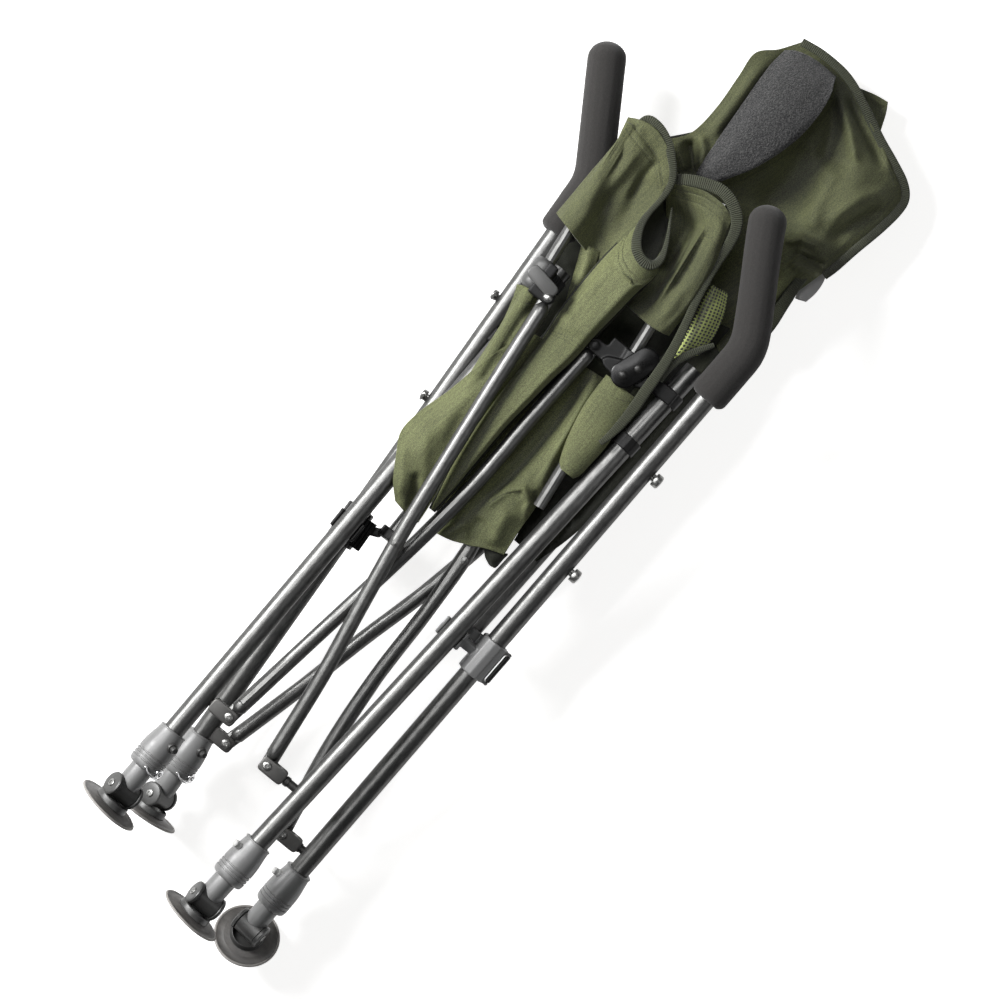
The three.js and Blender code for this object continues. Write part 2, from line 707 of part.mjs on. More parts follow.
brace('front_right', [pivots.front_right, place(-0.241, 0.146, 0.932),
  place(-0.122, 0.26, brace_level_shares.high_over), place(0.021, 0.363, 0.986), front_tip_left],
front_crossing, layer_drop(brace_level_shares.high_over, brace_level_shares.high) - cheek_play);
brace('front_left', [pivots.front_left, place(-0.235, 0.29, 0.757),
  place(-0.116, 0.212, brace_level_shares.high), place(-0.012, 0.155, 0.676),
  place(0.069, 0.148, 0.689), front_tip_right]);
brace('rear_right', [pivots.rear_right, place(-0.31, -0.13, 0.23),
  place(-0.18, -0.075, 0.27), rear_crossing, place(0.03, 0.12, 0.297), rear_tip_left],
rear_crossing, layer_drop(brace_level_shares.low_over, brace_level_shares.low) - 2 * cheek_play);
brace('rear_left', [pivots.rear_left, place(-0.28, 0.17, brace_level_shares.low),
  place(-0.2, 0.085, brace_level_shares.low), place(-0.073, -0.06, 0.027), rear_tip_right]);

lowerBracket('front_left', legs.front_left, pivots.front_left, 0, grey_plastic);
lowerBracket('rear_left', legs.rear_left, pivots.rear_left, clamp_length, dark_plastic);
lowerBracket('front_right', legs.front_right, pivots.front_right, clamp_length / 2, grey_plastic);
lowerBracket('rear_right', legs.rear_right, pivots.rear_right, 0, dark_plastic);

// Seat rails, back uprights and what holds them
const rails = {
  left: straight(place(0.0115, 0.4425, 0.662), place(0.388, 0.704, 0.824)),
  right: straight(place(0.02, -0.18, 0.635), place(0.387, 0.0725, 0.824)),
};
const uprights = {
  left: straight(place(-0.109, 0.32, 0.122), place(0.41, 0.37, -0.176)),
  right: straight(place(-0.133, -0.33, 0.338), place(0.4, -0.42, 0.085)),
};

function tubeOn(line, radius, parent) {
  const group = axisGroup(line.from, line.to, 0, parent);
  const bar = rod(0, line.length, radius, bar_sides);
  return { group, bar: solidOf(bar) };
}

for (const [side, line] of Object.entries(rails)) {
  const { group, bar } = tubeOn(line, rail_radius, chair);
  meshOf(`seat_rail_${side}`, bar, black_tube, group);
}
for (const [side, line] of Object.entries(uprights)) {
  const { group, bar } = tubeOn(line, upright_radius, chair);
  const cap = (start) => solidOf(
    rod(start - cap_lip, start + upright_cap, upright_radius + cap_wall, bar_sides));
  const screws = upright_screw_shares.map((share) => {
    const root = upright_radius - cap_lip;
    const top = upright_radius + upright_screw_rise;
    return join(solidOf(post(along(share), 0, root, top, screw_radius, rivet_sides)),
      solidOf(dome(along(share), 0, top, screw_head_radius, upright_screw_rise, true)));
  });
  const far = line.length - upright_cap + cap_lip;
  meshOf(`back_upright_${side}`, join(bar, cap(0), cap(far), ...screws),
    black_tube, group);
}

// The corner brackets: a ring that slides on a front leg, a barrel on the seat rail,
// and the clevis where a front brace ends
function cornerBracket(leg, rail, tip, x_share) {
  const x = along(x_share);
  const guide = ringOn(leg, x, clamp_length, clamp_wall);
  const barrel = ringOn(rail, x, barrel_length, barrel_wall, rail_radius);
  const side = Math.sign(barrel.middle.y - tip.y);
  const outer = brace_tab + cheek_play + cheek_thickness;
  const root = tip.y + side * (brace_radius + clevis_web + bracket_play);
  const fork = clevis(tip, root, brace_tab);
  const low = Math.min(barrel.middle.z, tip.z - outer);
  const high = Math.max(barrel.middle.z, tip.z + outer);
  const foot_y = root - side * clevis_web;
  const column = block(tip.x - brace_radius, x + barrel_length / 2, Math.min(foot_y, barrel.middle.y),
    Math.max(foot_y, barrel.middle.y), low, high);
  const stem = block(x - clamp_length / 2, x + clamp_length / 2,
    Math.min(guide.middle.y, barrel.middle.y) - stud_radius,
    Math.max(guide.middle.y, barrel.middle.y) + stud_radius, guide.middle.z, barrel.middle.z);
  const body = join(guide.ring, barrel.ring, solidOf(column), solidOf(stem), fork);
  return { body, rooms: [guide.room, barrel.room], barrel };
}

const corner_x_shares = { left: 0.212, right: 0.196 };
const plate_place_shares = { x: 0.1865, y: -0.09 };
const plate_rivet_shares = [[0.182, -0.074], [0.192, -0.122]];
const left_corner = cornerBracket(legs.front_left, rails.left, front_tip_left, corner_x_shares.left);
meshOf('corner_bracket_left', cut(left_corner.body, ...left_corner.rooms), grey_plastic, chair);

// The right one carries an oval plate with two rivets over the rail
const right_corner = cornerBracket(legs.front_right, rails.right, front_tip_right, corner_x_shares.right);
const plate_centre = place(plate_place_shares.x, plate_place_shares.y, 0);
const plate_low = right_corner.barrel.middle.z + rail_radius + contact_gap;
const plate = post(0, 0, plate_low, plate_low + plate_thickness, plate_half_width, plate_sides)
  .scale(1, plate_stretch, 1).rotateZ(plate_turn).translate(plate_centre.x, plate_centre.y, 0);
const plate_rivets = plate_rivet_shares.map(([x, y]) => solidOf(
  dome(along(x), across(y), plate_low + plate_thickness, rivet_head_radius, rivet_head_rise, true)));
const plated = join(right_corner.body, solidOf(plate), ...plate_rivets);
meshOf('corner_bracket_right', cut(plated, ...right_corner.rooms), dark_plastic, chair);

// The rear brackets: a ring that slides on a front leg, with an arm down to a rear brace
function rearBracket(side_name, leg, tip) {
  const guide = ringOn(leg, tip.x, clamp_length, clamp_wall);
  const side = Math.sign(guide.middle.y - tip.y);
  const root = tip.y + side * (brace_radius + clevis_web + bracket_play);
  const inner = root - side * clevis_web;
  const top = Math.max(guide.middle.z, tip.z);
  const arm = block(tip.x - brace_radius, tip.x + brace_radius, Math.min(inner, root),
    Math.max(inner, root), tip.z, top);
  const bridge = block(tip.x - brace_radius, tip.x + brace_radius, Math.min(inner, guide.middle.y),
    Math.max(inner, guide.middle.y), top - clevis_web, top);
  const body = join(guide.ring, solidOf(arm), solidOf(bridge), clevis(tip, root, brace_tab));
  meshOf(`rear_bracket_${side_name}`, cut(body, guide.room), dark_plastic, chair);
}

rearBracket('left', legs.front_left, rear_tip_left);
rearBracket('right', legs.front_right, rear_tip_right);

const sleeve_x_shares = { left: -0.122, right: -0.139 };
const lever_turns = { left: 2.05, right: 3.1 };

// The sleeves that slide on the rear legs, carry the back uprights and cradle the front legs
function sleeve(name, rear, front, upright, x_share, lever_turn) {
  const x = along(x_share);
  const guide = ringOn(rear, x, sleeve_length, sleeve_wall);
  const cradle = ringOn(front, x, sleeve_length / 2, sleeve_wall);
  const holder = ringOn(upright, upright.from.x + upright_cap / 2, upright_cap, sleeve_wall,
    upright_radius + cap_wall);
  const open = 3 * leg_radius;
  const above = block(x - sleeve_length, x + sleeve_length, cradle.middle.y - open,
    cradle.middle.y + open, cradle.middle.z, cradle.middle.z + open);
  const saddle = cut(cradle.ring, solidOf(above));
  const half = lever_length / 2;
  const reach = leg_radius + contact_gap + sleeve_wall + lever_barrel_radius + lever_gap;
  const turn = (piece) => guide.set(piece.rotateX(lever_turn));
  const lug = (low) => {
    const arm = block(low, low + lug_thickness, leg_radius, reach, -lever_barrel_radius, lever_barrel_radius);
    const eye = post(0, 0, low, low + lug_thickness, lever_barrel_radius, rivet_sides)
      .rotateY(Math.PI / 2).translate(0, reach, 0);
    const hole = rod(low - cut_overrun, low + lug_thickness + cut_overrun,
      lever_pin_radius + contact_gap, rivet_sides).translate(0, reach, 0);
    return cut(join(turn(arm), turn(eye)), turn(hole));
  };
  const body = join(guide.ring, saddle, holder.ring, beam(guide.middle, cradle.middle, stud_radius),
    beam(guide.middle, holder.middle, stud_radius),
    lug(-half - contact_gap - lug_thickness), lug(half + contact_gap));
  meshOf(`sleeve_${name}`, cut(body, guide.room, cradle.room, holder.room), dark_plastic, chair);
  lever(name, guide, reach, lever_turn);
}

// The ribbed lever hangs on a pin between the sleeve's two lugs
function lever(name, guide, reach, lever_turn) {
  const half = lever_length / 2;
  const pin_end = half + contact_gap + lug_thickness;
  const plate = block(-half, half, -lever_thickness / 2, lever_thickness / 2, 0, lever_width);
  const ribs = [];
  for (let i = 0; i < lever_ribs; i += 1) {
    const z = lever_width * (i + 1) / (lever_ribs + 1);
    ribs.push(block(-half, half, lever_thickness / 2 - contact_gap, lever_thickness / 2 + lever_rib,
      z - lever_rib / 2, z + lever_rib / 2));
  }
  const pieces = [plate, ...ribs, rod(-half, half, lever_barrel_radius, rivet_sides),
    rod(-pin_end, pin_end, lever_pin_radius, rivet_sides)];
  const mesh = meshOf(`lever_${name}`, join(...pieces.map(solidOf)), dark_plastic, chair);
  const frame = new THREE.Quaternion().setFromUnitVectors(new THREE.Vector3(1, 0, 0), guide.direction);
  mesh.quaternion.copy(frame).multiply(
    new THREE.Quaternion().setFromAxisAngle(new THREE.Vector3(1, 0, 0), lever_turn));
  mesh.position.set(0, reach, 0).applyQuaternion(mesh.quaternion).add(guide.middle);
}

sleeve('left', legs.rear_left, legs.front_left, uprights.left, sleeve_x_shares.left, lever_turns.left);
sleeve('right', legs.rear_right, legs.front_right, uprights.right, sleeve_x_shares.right, lever_turns.right);

// Cloth: tables of shares of the bundle's run, of its spread and of the cloth's height
const left_drape_shares = [
  [[0.176, 0.615, 0.92], [0.176, 0.595, 0.995], [0.178, 0.52, 1.005],
    [0.18, 0.485, 0.97], [0.181, 0.47, 0.91]],
  [[0.141, 0.585, 0.88], [0.141, 0.573, 0.975], [0.141, 0.495, 0.99],
    [0.141, 0.44, 0.95], [0.141, 0.39, 0.88]],
  [[0.106, 0.595, 0.85], [0.106, 0.55, 0.96], [0.106, 0.47, 0.98], [0.106, 0.41, 0.92], [0.106, 0.34, 0.86]],
  [[0.063, 0.595, 0.845], [0.063, 0.525, 0.94], [0.063, 0.44, 0.97],
    [0.063, 0.375, 0.91], [0.063, 0.3, 0.84]],
  [[0.028, 0.615, 0.82], [0.028, 0.53, 0.91], [0.028, 0.43, 0.97], [0.028, 0.365, 0.91], [0.028, 0.3, 0.82]],
  [[-0.009, 0.63, 0.79], [-0.009, 0.54, 0.92], [-0.009, 0.44, 0.94],
    [-0.009, 0.37, 0.88], [-0.009, 0.3, 0.8]],
  [[-0.04, 0.565, 0.935], [-0.04, 0.51, 0.95], [-0.04, 0.44, 0.93], [-0.04, 0.37, 0.86], [-0.04, 0.3, 0.78]],
  [[-0.075, 0.45, 0.91], [-0.075, 0.42, 0.88], [-0.076, 0.385, 0.85],
    [-0.077, 0.35, 0.81], [-0.078, 0.31, 0.76]],
];
const left_sleeve_shares = [
  [[0.268, 0.725, 0.86], [0.266, 0.66, 1.005], [0.264, 0.585, 1.02],
    [0.262, 0.52, 0.94], [0.26, 0.46, 0.87], [0.259, 0.379, 0.9]],
  [[0.3, 0.73, 0.87], [0.3, 0.685, 1.017], [0.3, 0.61, 1.032],
    [0.3, 0.55, 0.96], [0.3, 0.475, 0.98], [0.3, 0.388, 0.94]],
  [[0.34, 0.74, 0.91], [0.34, 0.71, 1.031], [0.34, 0.635, 1.046],
    [0.34, 0.585, 0.97], [0.34, 0.5, 1.02], [0.335, 0.388, 1.02]],
  [[0.393, 0.76, 0.98], [0.393, 0.742, 1.055], [0.392, 0.67, 1.07],
    [0.388, 0.63, 1.01], [0.382, 0.56, 1.05], [0.37, 0.395, 1.06]],
];
const right_sleeve_shares = [
  [[0.243, 0.09, 0.86], [0.243, 0.03, 0.97], [0.244, -0.025, 1.03],
    [0.244, -0.08, 0.98], [0.244, -0.135, 0.92]],
  [[0.305, 0.13, 0.86], [0.305, 0.07, 0.98], [0.305, 0.015, 1.05],
    [0.305, -0.04, 1.0], [0.305, -0.095, 0.95]],
  [[0.35, 0.16, 0.92], [0.35, 0.11, 1.01], [0.35, 0.045, 1.065], [0.35, -0.01, 1.02], [0.35, -0.065, 0.97]],
  [[0.364, 0.33, 1.02], [0.37, 0.2, 1.06], [0.378, 0.08, 1.09], [0.38, 0.02, 1.06], [0.38, -0.02, 1.02]],
];
const seat_drape_shares = [
  [[0.165, 0.24, 0.76], [0.165, 0.14, 0.76], [0.165, 0.03, 0.8], [0.165, -0.09, 0.74], [0.165, -0.19, 0.72]],
  [[0.12, 0.25, 0.75], [0.12, 0.14, 0.755], [0.12, 0.03, 0.82], [0.12, -0.075, 0.772], [0.12, -0.19, 0.75]],
  [[0.07, 0.26, 0.74], [0.07, 0.15, 0.74], [0.07, 0.05, 0.84], [0.07, -0.06, 0.74], [0.07, -0.21, 0.72]],
  [[0.025, 0.25, 0.73], [0.025, 0.16, 0.73], [0.025, 0.06, 0.82], [0.025, -0.07, 0.74], [0.025, -0.23, 0.73]],
  [[-0.015, 0.23, 0.72], [-0.015, 0.15, 0.73], [-0.015, 0.04, 0.78],
    [-0.015, -0.08, 0.76], [-0.015, -0.22, 0.72]],
  [[-0.072, 0.2, 0.71], [-0.067, 0.11, 0.72], [-0.061, 0.02, 0.74],
    [-0.052, -0.08, 0.74], [-0.042, -0.19, 0.71]],
];
// Stations of the rolled seat: place along, across and up, then half width, half height and lean
const roll_shares = [
  [-0.05, 0.25, 0.91, 0.015, 0.03, 0], [0, 0.267, 0.93, 0.034, 0.055, 0],
  [0.045, 0.28, 0.96, 0.052, 0.075, 0], [0.087, 0.295, 0.99, 0.064, 0.09, 0],
  [0.14, 0.288, 1.02, 0.085, 0.11, 0], [0.19, 0.285, 1.05, 0.105, 0.13, 0],
];
const roll_mouth_shares = [
  [0.215, 0.28, 1.03, 0.118, 0.12, 0], [0.25, 0.265, 1.05, 0.128, 0.14, 0],
  [0.29, 0.25, 1.06, 0.14, 0.16, 0], [0.325, 0.24, 1.07, 0.15, 0.17, 0.03],
];
const roll_overrun_shares = [[0.345, 0.24, 1.07, 0.16, 0.18, 0.05]];
const pocket_shares = [
  [0.072, -0.155, 0.865, 0.075, 0.1, 0], [0.12, -0.1225, 0.883, 0.08, 0.1, 0],
  [0.17, -0.09, 0.902, 0.09, 0.1, 0],
];
const pocket_bore_shares = [
  [0.06, -0.1635, 0.86, 0.075, 0.1, 0], [0.12, -0.1225, 0.883, 0.08, 0.1, 0],
  [0.18, -0.0832, 0.906, 0.09, 0.1, 0],
];
const binding_shares = [
  [[0.39, 0.01, 1.07], [0.372, -0.075, 1.035]], [[0.36, -0.07, 1.02], [0.345, -0.12, 1.0]],
  [[0.293, -0.1, 0.985], [0.293, -0.16, 0.98]], [[0.248, -0.165, 1.02], [0.248, -0.225, 1.02]],
  [[0.2, -0.195, 1.08], [0.2, -0.255, 1.08]], [[0.142, -0.2, 1.06], [0.142, -0.25, 1.05]],
  [[0.113, -0.19, 1.04], [0.113, -0.22, 1.02]],
];
const mesh_pocket_shares = [
  [[0.215, -0.19, 0.9], [0.215, -0.25, 0.9]], [[0.245, -0.14, 0.895], [0.245, -0.3, 0.88]],
  [[0.27, -0.105, 0.908], [0.27, -0.32, 0.875]], [[0.309, -0.09, 0.91], [0.309, -0.24, 0.88]],
  [[0.345, -0.07, 0.93], [0.345, -0.17, 0.92]],
];
const back_panel_shares = [
  [[0.415, 0.33, 0.62], [0.392, 0.15, 0.64], [0.362, -0.075, 0.66],
    [0.335, -0.25, 0.68], [0.318, -0.4, 0.66], [0.305, -0.515, 0.62]],
  [[0.432, 0.46, 0.5], [0.42, 0.2, 0.62], [0.4, -0.05, 0.66],
    [0.38, -0.25, 0.68], [0.365, -0.4, 0.66], [0.352, -0.53, 0.56]],
  [[0.488, 0.43, 0.36], [0.475, 0.225, 0.54], [0.46, 0, 0.6],
    [0.44, -0.25, 0.62], [0.42, -0.425, 0.56], [0.4, -0.57, 0.42]],
  [[0.533, 0.405, 0.3], [0.525, 0.25, 0.45], [0.515, 0, 0.5],
    [0.505, -0.25, 0.48], [0.495, -0.475, 0.38], [0.485, -0.66, 0.22]],
  [[0.56, 0.375, 0.3], [0.556, 0.225, 0.38], [0.552, 0.025, 0.4],
    [0.546, -0.225, 0.36], [0.535, -0.475, 0.24], [0.522, -0.67, 0.14]],
  [[0.578, 0.315, 0.32], [0.582, 0.19, 0.32], [0.586, 0.06, 0.3],
    [0.582, -0.1, 0.24], [0.566, -0.31, 0.16], [0.538, -0.605, 0.1]],
];
const headrest_shares = [
  [0.57, 0.2, 0.44, 0.1, 0.04, 0], [0.55, 0.195, 0.52, 0.14, 0.07, 0], [0.515, 0.18, 0.63, 0.165, 0.09, 0],
  [0.475, 0.18, 0.71, 0.155, 0.1, 0], [0.44, 0.2, 0.76, 0.12, 0.09, 0], [0.41, 0.235, 0.79, 0.075, 0.08, 0],
  [0.397, 0.25, 0.8, 0.04, 0.05, 0],
];
const underfold_shares = [
  [[0.1, 0.3, 0.061], [0.1, 0.1, 0.1], [0.1, -0.1, 0.08], [0.1, -0.28, 0.061]],
  [[0.25, 0.34, 0.07], [0.25, 0.15, 0.12], [0.25, -0.15, 0.1], [0.25, -0.34, 0.061]],
  [[0.4, 0.36, 0.086], [0.4, 0.15, 0.1], [0.4, -0.15, 0.12], [0.4, -0.4, 0.061]],
  [[0.53, 0.28, 0.07], [0.53, 0.1, 0.1], [0.53, -0.15, 0.08], [0.53, -0.545, 0.096]],
];
const strap_end_shares = { back: 0.368, front: 0.396, right: -0.62, left: -0.5, low: 0.352 };

sheet('left_seat_drape', rowsOf(left_drape_shares), cloth_thickness, 10, 8, green_cloth);
sheet('left_seat_sleeve', rowsOf(left_sleeve_shares), cloth_thickness, 6, 12, green_cloth);
sheet('right_seat_sleeve', rowsOf(right_sleeve_shares), cloth_thickness, 6, 8, green_cloth);
sheet('seat_drape', rowsOf(seat_drape_shares), cloth_thickness, 9, 9, green_cloth);
sheet('seat_binding', rowsOf(binding_shares), binding_thickness, 9, 1, webbing);
sheet('mesh_pocket', rowsOf(mesh_pocket_shares), binding_thickness, 6, 3, mesh_cloth);
sheet('back_panel', rowsOf(back_panel_shares), panel_thickness, 8, 10, green_cloth);
sheet('seat_underfold', rowsOf(underfold_shares), panel_thickness + cloth_thickness, 5, 4, green_cloth);

const roll_outside = loft(stationsOf([...roll_shares, ...roll_mouth_shares]), roll_sides);
const mouth_bore = [...roll_mouth_shares, ...roll_overrun_shares];
const roll_inside = loft(stationsOf(mouth_bore), roll_sides, cloth_thickness);
meshOf('seat_roll', cut(roll_outside, roll_inside), green_cloth, chair);

const pocket_outside = loft(stationsOf(pocket_shares), roll_sides);
const pocket_inside = loft(stationsOf(pocket_bore_shares), roll_sides, binding_thickness);
meshOf('right_seat_pocket', cut(pocket_outside, pocket_inside), green_cloth, chair);

meshOf('headrest', loft(stationsOf(headrest_shares), headrest_sides), fleece, chair);

const strap_low = cloth_height * strap_end_shares.low;
const strap_end = block(along(strap_end_shares.back), along(strap_end_shares.front),
  across(strap_end_shares.right), across(strap_end_shares.left), strap_low, strap_low + strap_thickness);
meshOf('strap_end', solidOf(strap_end), grey_plastic, chair);

// Set the bundle down on z = 0, with the middle of its box over the origin
chair.updateMatrixWorld(true);
const box = new THREE.Box3().setFromObject(chair, true);
const middle = box.getCenter(new THREE.Vector3());
chair.position.set(-middle.x, -middle.y, -box.min.z);
const folded_chair = new THREE.Group();
folded_chair.add(chair);
folded_chair.updateMatrixWorld(true);

export default folded_chair;
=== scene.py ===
"""A folded carp chair lying on a pale floor, seen from straight above.

Places and sizes are in metres. Heights beside pixels, and the distances and radii of turned profiles, are in
millimetres.
"""
import json
import math
import bpy
import numpy as np
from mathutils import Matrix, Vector
from mathutils.bvhtree import BVHTree


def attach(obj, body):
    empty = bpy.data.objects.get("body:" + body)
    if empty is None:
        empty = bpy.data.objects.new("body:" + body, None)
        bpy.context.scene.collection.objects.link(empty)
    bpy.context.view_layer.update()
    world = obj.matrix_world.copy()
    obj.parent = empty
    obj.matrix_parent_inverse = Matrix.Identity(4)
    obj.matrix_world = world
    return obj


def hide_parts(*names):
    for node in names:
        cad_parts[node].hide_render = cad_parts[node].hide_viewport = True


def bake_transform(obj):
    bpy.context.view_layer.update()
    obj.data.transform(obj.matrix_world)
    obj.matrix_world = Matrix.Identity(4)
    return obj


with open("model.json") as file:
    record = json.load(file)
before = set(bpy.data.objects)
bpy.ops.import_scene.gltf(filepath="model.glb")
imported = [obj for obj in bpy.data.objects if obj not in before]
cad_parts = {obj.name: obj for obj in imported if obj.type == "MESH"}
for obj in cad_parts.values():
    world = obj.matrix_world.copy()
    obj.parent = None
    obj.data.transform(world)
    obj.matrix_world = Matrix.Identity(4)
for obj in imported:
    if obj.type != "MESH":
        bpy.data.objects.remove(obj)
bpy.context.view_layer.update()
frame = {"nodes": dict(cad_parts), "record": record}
NODES = frame["nodes"]
SCENE = bpy.context.scene

# The photograph looks straight down on the bundle from VIEW_HEIGHT
VIEW_X, VIEW_Y, VIEW_HEIGHT = -0.01258, -0.04375, 3.0
VIEW_TURN = math.radians(-50.5)
PIXEL_SLOPE = 1.05 / 2920            # sideways distance of one pixel for each metre of depth
HALF_PIXELS = 500
METRES_PER_PIXEL = 0.00105           # about, at the height of the bundle
PIXELS_PER_MILLIMETRE = 0.95         # its inverse, rounded
RIGHT = np.array([math.cos(VIEW_TURN), math.sin(VIEW_TURN)])
UP = np.array([-math.sin(VIEW_TURN), math.cos(VIEW_TURN)])

camera_data = bpy.data.cameras.new("camera")
camera_data.sensor_width = 36
camera_data.lens = camera_data.sensor_width / 2 / (PIXEL_SLOPE * HALF_PIXELS)
camera_data.clip_start = 0.1
camera_data.clip_end = 20
camera = bpy.data.objects.new("camera", camera_data)
SCENE.collection.objects.link(camera)
camera.location = (VIEW_X, VIEW_Y, VIEW_HEIGHT)
camera.rotation_euler = (0, 0, VIEW_TURN)
SCENE.camera = camera


def spots(pixels):
    """Points (..., 3) of pixel across, pixel down and height in millimetres, as places in metres."""
    p = np.asarray(pixels, float)
    z = p[..., 2] / 1000
    k = PIXEL_SLOPE * (VIEW_HEIGHT - z)
    dx, dy = (p[..., 0] - HALF_PIXELS) * k, (HALF_PIXELS - p[..., 1]) * k
    x = VIEW_X + dx * RIGHT[0] + dy * UP[0]
    y = VIEW_Y + dx * RIGHT[1] + dy * UP[1]
    return np.stack([x, y, z], -1)


# Materials
MATERIALS = {}
FINE_GRAIN = (1500, 2)               # scale and detail of the noise on moulded plastic
GRAIN_DEPTH = 0.00006
WEAVE = 0.0011                       # pitch of the woven threads


def linear(r, g, b):
    """A colour read off the photograph, 0 to 255, as Blender's linear colour."""
    out = []
    for c in (r, g, b):
        c /= 255
        out.append(c / 12.92 if c <= 0.04045 else ((c + 0.055) / 1.055) ** 2.4)
    return (*out, 1)


class Finish:
    """A node material with short helpers, kept in MATERIALS under its name."""

    def __init__(self, name, roughness=0.5, metallic=0.0, **sockets):
        self.material = bpy.data.materials.new(name)
        self.material.use_nodes = True
        self.tree = self.material.node_tree
        self.shader = self.tree.nodes["Principled BSDF"]
        self.set("Roughness", roughness)
        self.set("Metallic", metallic)
        for socket, value in sockets.items():
            self.set(socket.replace("_", " "), value)
        self.height = None
        MATERIALS[name.replace(" ", "_")] = self.material

    def set(self, socket, value):
        self.shader.inputs[socket].default_value = value

    def feed(self, socket, value):
        """Links a value to a socket, or sets it."""
        if isinstance(value, bpy.types.NodeSocket):
            self.tree.links.new(value, socket)
        else:
            socket.default_value = value

    def node(self, kind, **inputs):
        n = self.tree.nodes.new(kind)
        for key, value in inputs.items():
            self.feed(n.inputs[key.replace("_", " ")], value)
        return n

    def place(self, uv=False):
        n = self.tree.nodes.new("ShaderNodeTexCoord")
        return n.outputs["UV" if uv else "Object"]

    def noise(self, scale, detail=3, uv=False, stretch=None, roughness=0.5):
        where = self.place(uv)
        if stretch:
            where = self.node("ShaderNodeMapping", Vector=where, Scale=stretch).outputs[0]
        return self.node("ShaderNodeTexNoise", Vector=where, Scale=scale, Detail=detail,
                         Roughness=roughness).outputs["Fac"]

    def math(self, operation, a, b=0.0):
        n = self.tree.nodes.new("ShaderNodeMath")
        n.operation = operation
        self.feed(n.inputs[0], a)
        self.feed(n.inputs[1], b)
        return n.outputs[0]

    def scaled(self, value, factor, offset):
        return self.math("ADD", self.math("MULTIPLY", value, factor), offset)

    def ramp(self, value, *stops):
        n = self.tree.nodes.new("ShaderNodeValToRGB")
        self.tree.links.new(value, n.inputs[0])
        while len(n.color_ramp.elements) < len(stops):
            n.color_ramp.elements.new(0.5)
        for element, (position, colour) in zip(n.color_ramp.elements, stops):
            element.position = position
            element.color = colour
        return n.outputs[0]

    def mix(self, factor, a, b, blend="MIX"):
        n = self.tree.nodes.new("ShaderNodeMix")
        n.data_type = "RGBA"
        n.blend_type = blend
        for index, value in ((0, factor), (6, a), (7, b)):
            self.feed(n.inputs[index], value)
        return n.outputs[2]

    def colour(self, value):
        self.feed(self.shader.inputs["Base Color"], value)

    def rough(self, value):
        self.feed(self.shader.inputs["Roughness"], value)

    def bump(self, value, distance, strength=1.0):
        n = self.tree.nodes.new("ShaderNodeBump")
        n.inputs["Strength"].default_value = strength
        n.inputs["Distance"].default_value = distance
        self.tree.links.new(value, n.inputs["Height"])
        if self.height is not None:
            self.tree.links.new(self.height, n.inputs["Normal"])
        self.height = n.outputs[0]
        self.tree.links.new(self.height, self.shader.inputs["Normal"])

    def waves(self, along, pitch):
        """Ridges across one axis of the UV, 0 to 1, of one pitch in metres."""
        axes = self.node("ShaderNodeSeparateXYZ", Vector=self.place(uv=True))
        turns = self.math("MULTIPLY", axes.outputs[along], 2 * math.pi / pitch)
        return self.scaled(self.math("SINE", turns), 0.5, 0.5)

    def edges(self, bright):
        """0 on the faces of a piece, up to 1 along its edges."""
        edge = self.tree.nodes.new("ShaderNodeNewGeometry").outputs["Pointiness"]
        return self.ramp(edge, (0.5, grey(0)), (bright, grey(1)))


def grey(value):
    return (value, value, value, 1)


def make_steels():
    # Satin grey-black finish on steel tube: faint drawing marks along it
    f = Finish("black tube", roughness=0.33, metallic=0.7, Specular_IOR_Level=0.5, Specular_Tint=grey(0.52))
    marks = f.noise(300, 3, stretch=(0.3, 1, 1))
    f.colour(f.ramp(marks, (0.35, linear(80, 80, 79)), (0.65, linear(96, 96, 95))))
    f.rough(f.scaled(f.noise(400, 3), 0.1, 0.3))

    # Pressed steel of the brackets, rubbed bright along its edges
    f = Finish("dark steel", roughness=0.46, metallic=0.5, Specular_IOR_Level=0.5)
    base = f.mix(f.noise(160, 4), linear(30, 30, 29), linear(52, 51, 50))
    f.colour(f.mix(f.edges(0.6), base, linear(110, 109, 107)))
    f.bump(f.noise(700, 3), GRAIN_DEPTH, 0.5)

    f = Finish("bright steel", roughness=0.34, metallic=0.9)
    f.colour(f.ramp(f.noise(300, 4), (0.3, linear(112, 112, 111)), (0.7, linear(160, 160, 158))))
    f.bump(f.noise(900, 3), 0.00004, 0.4)

    f = Finish("chrome", roughness=0.12, metallic=1.0)
    f.colour(f.mix(f.noise(400, 3), linear(215, 215, 216), linear(240, 240, 241)))


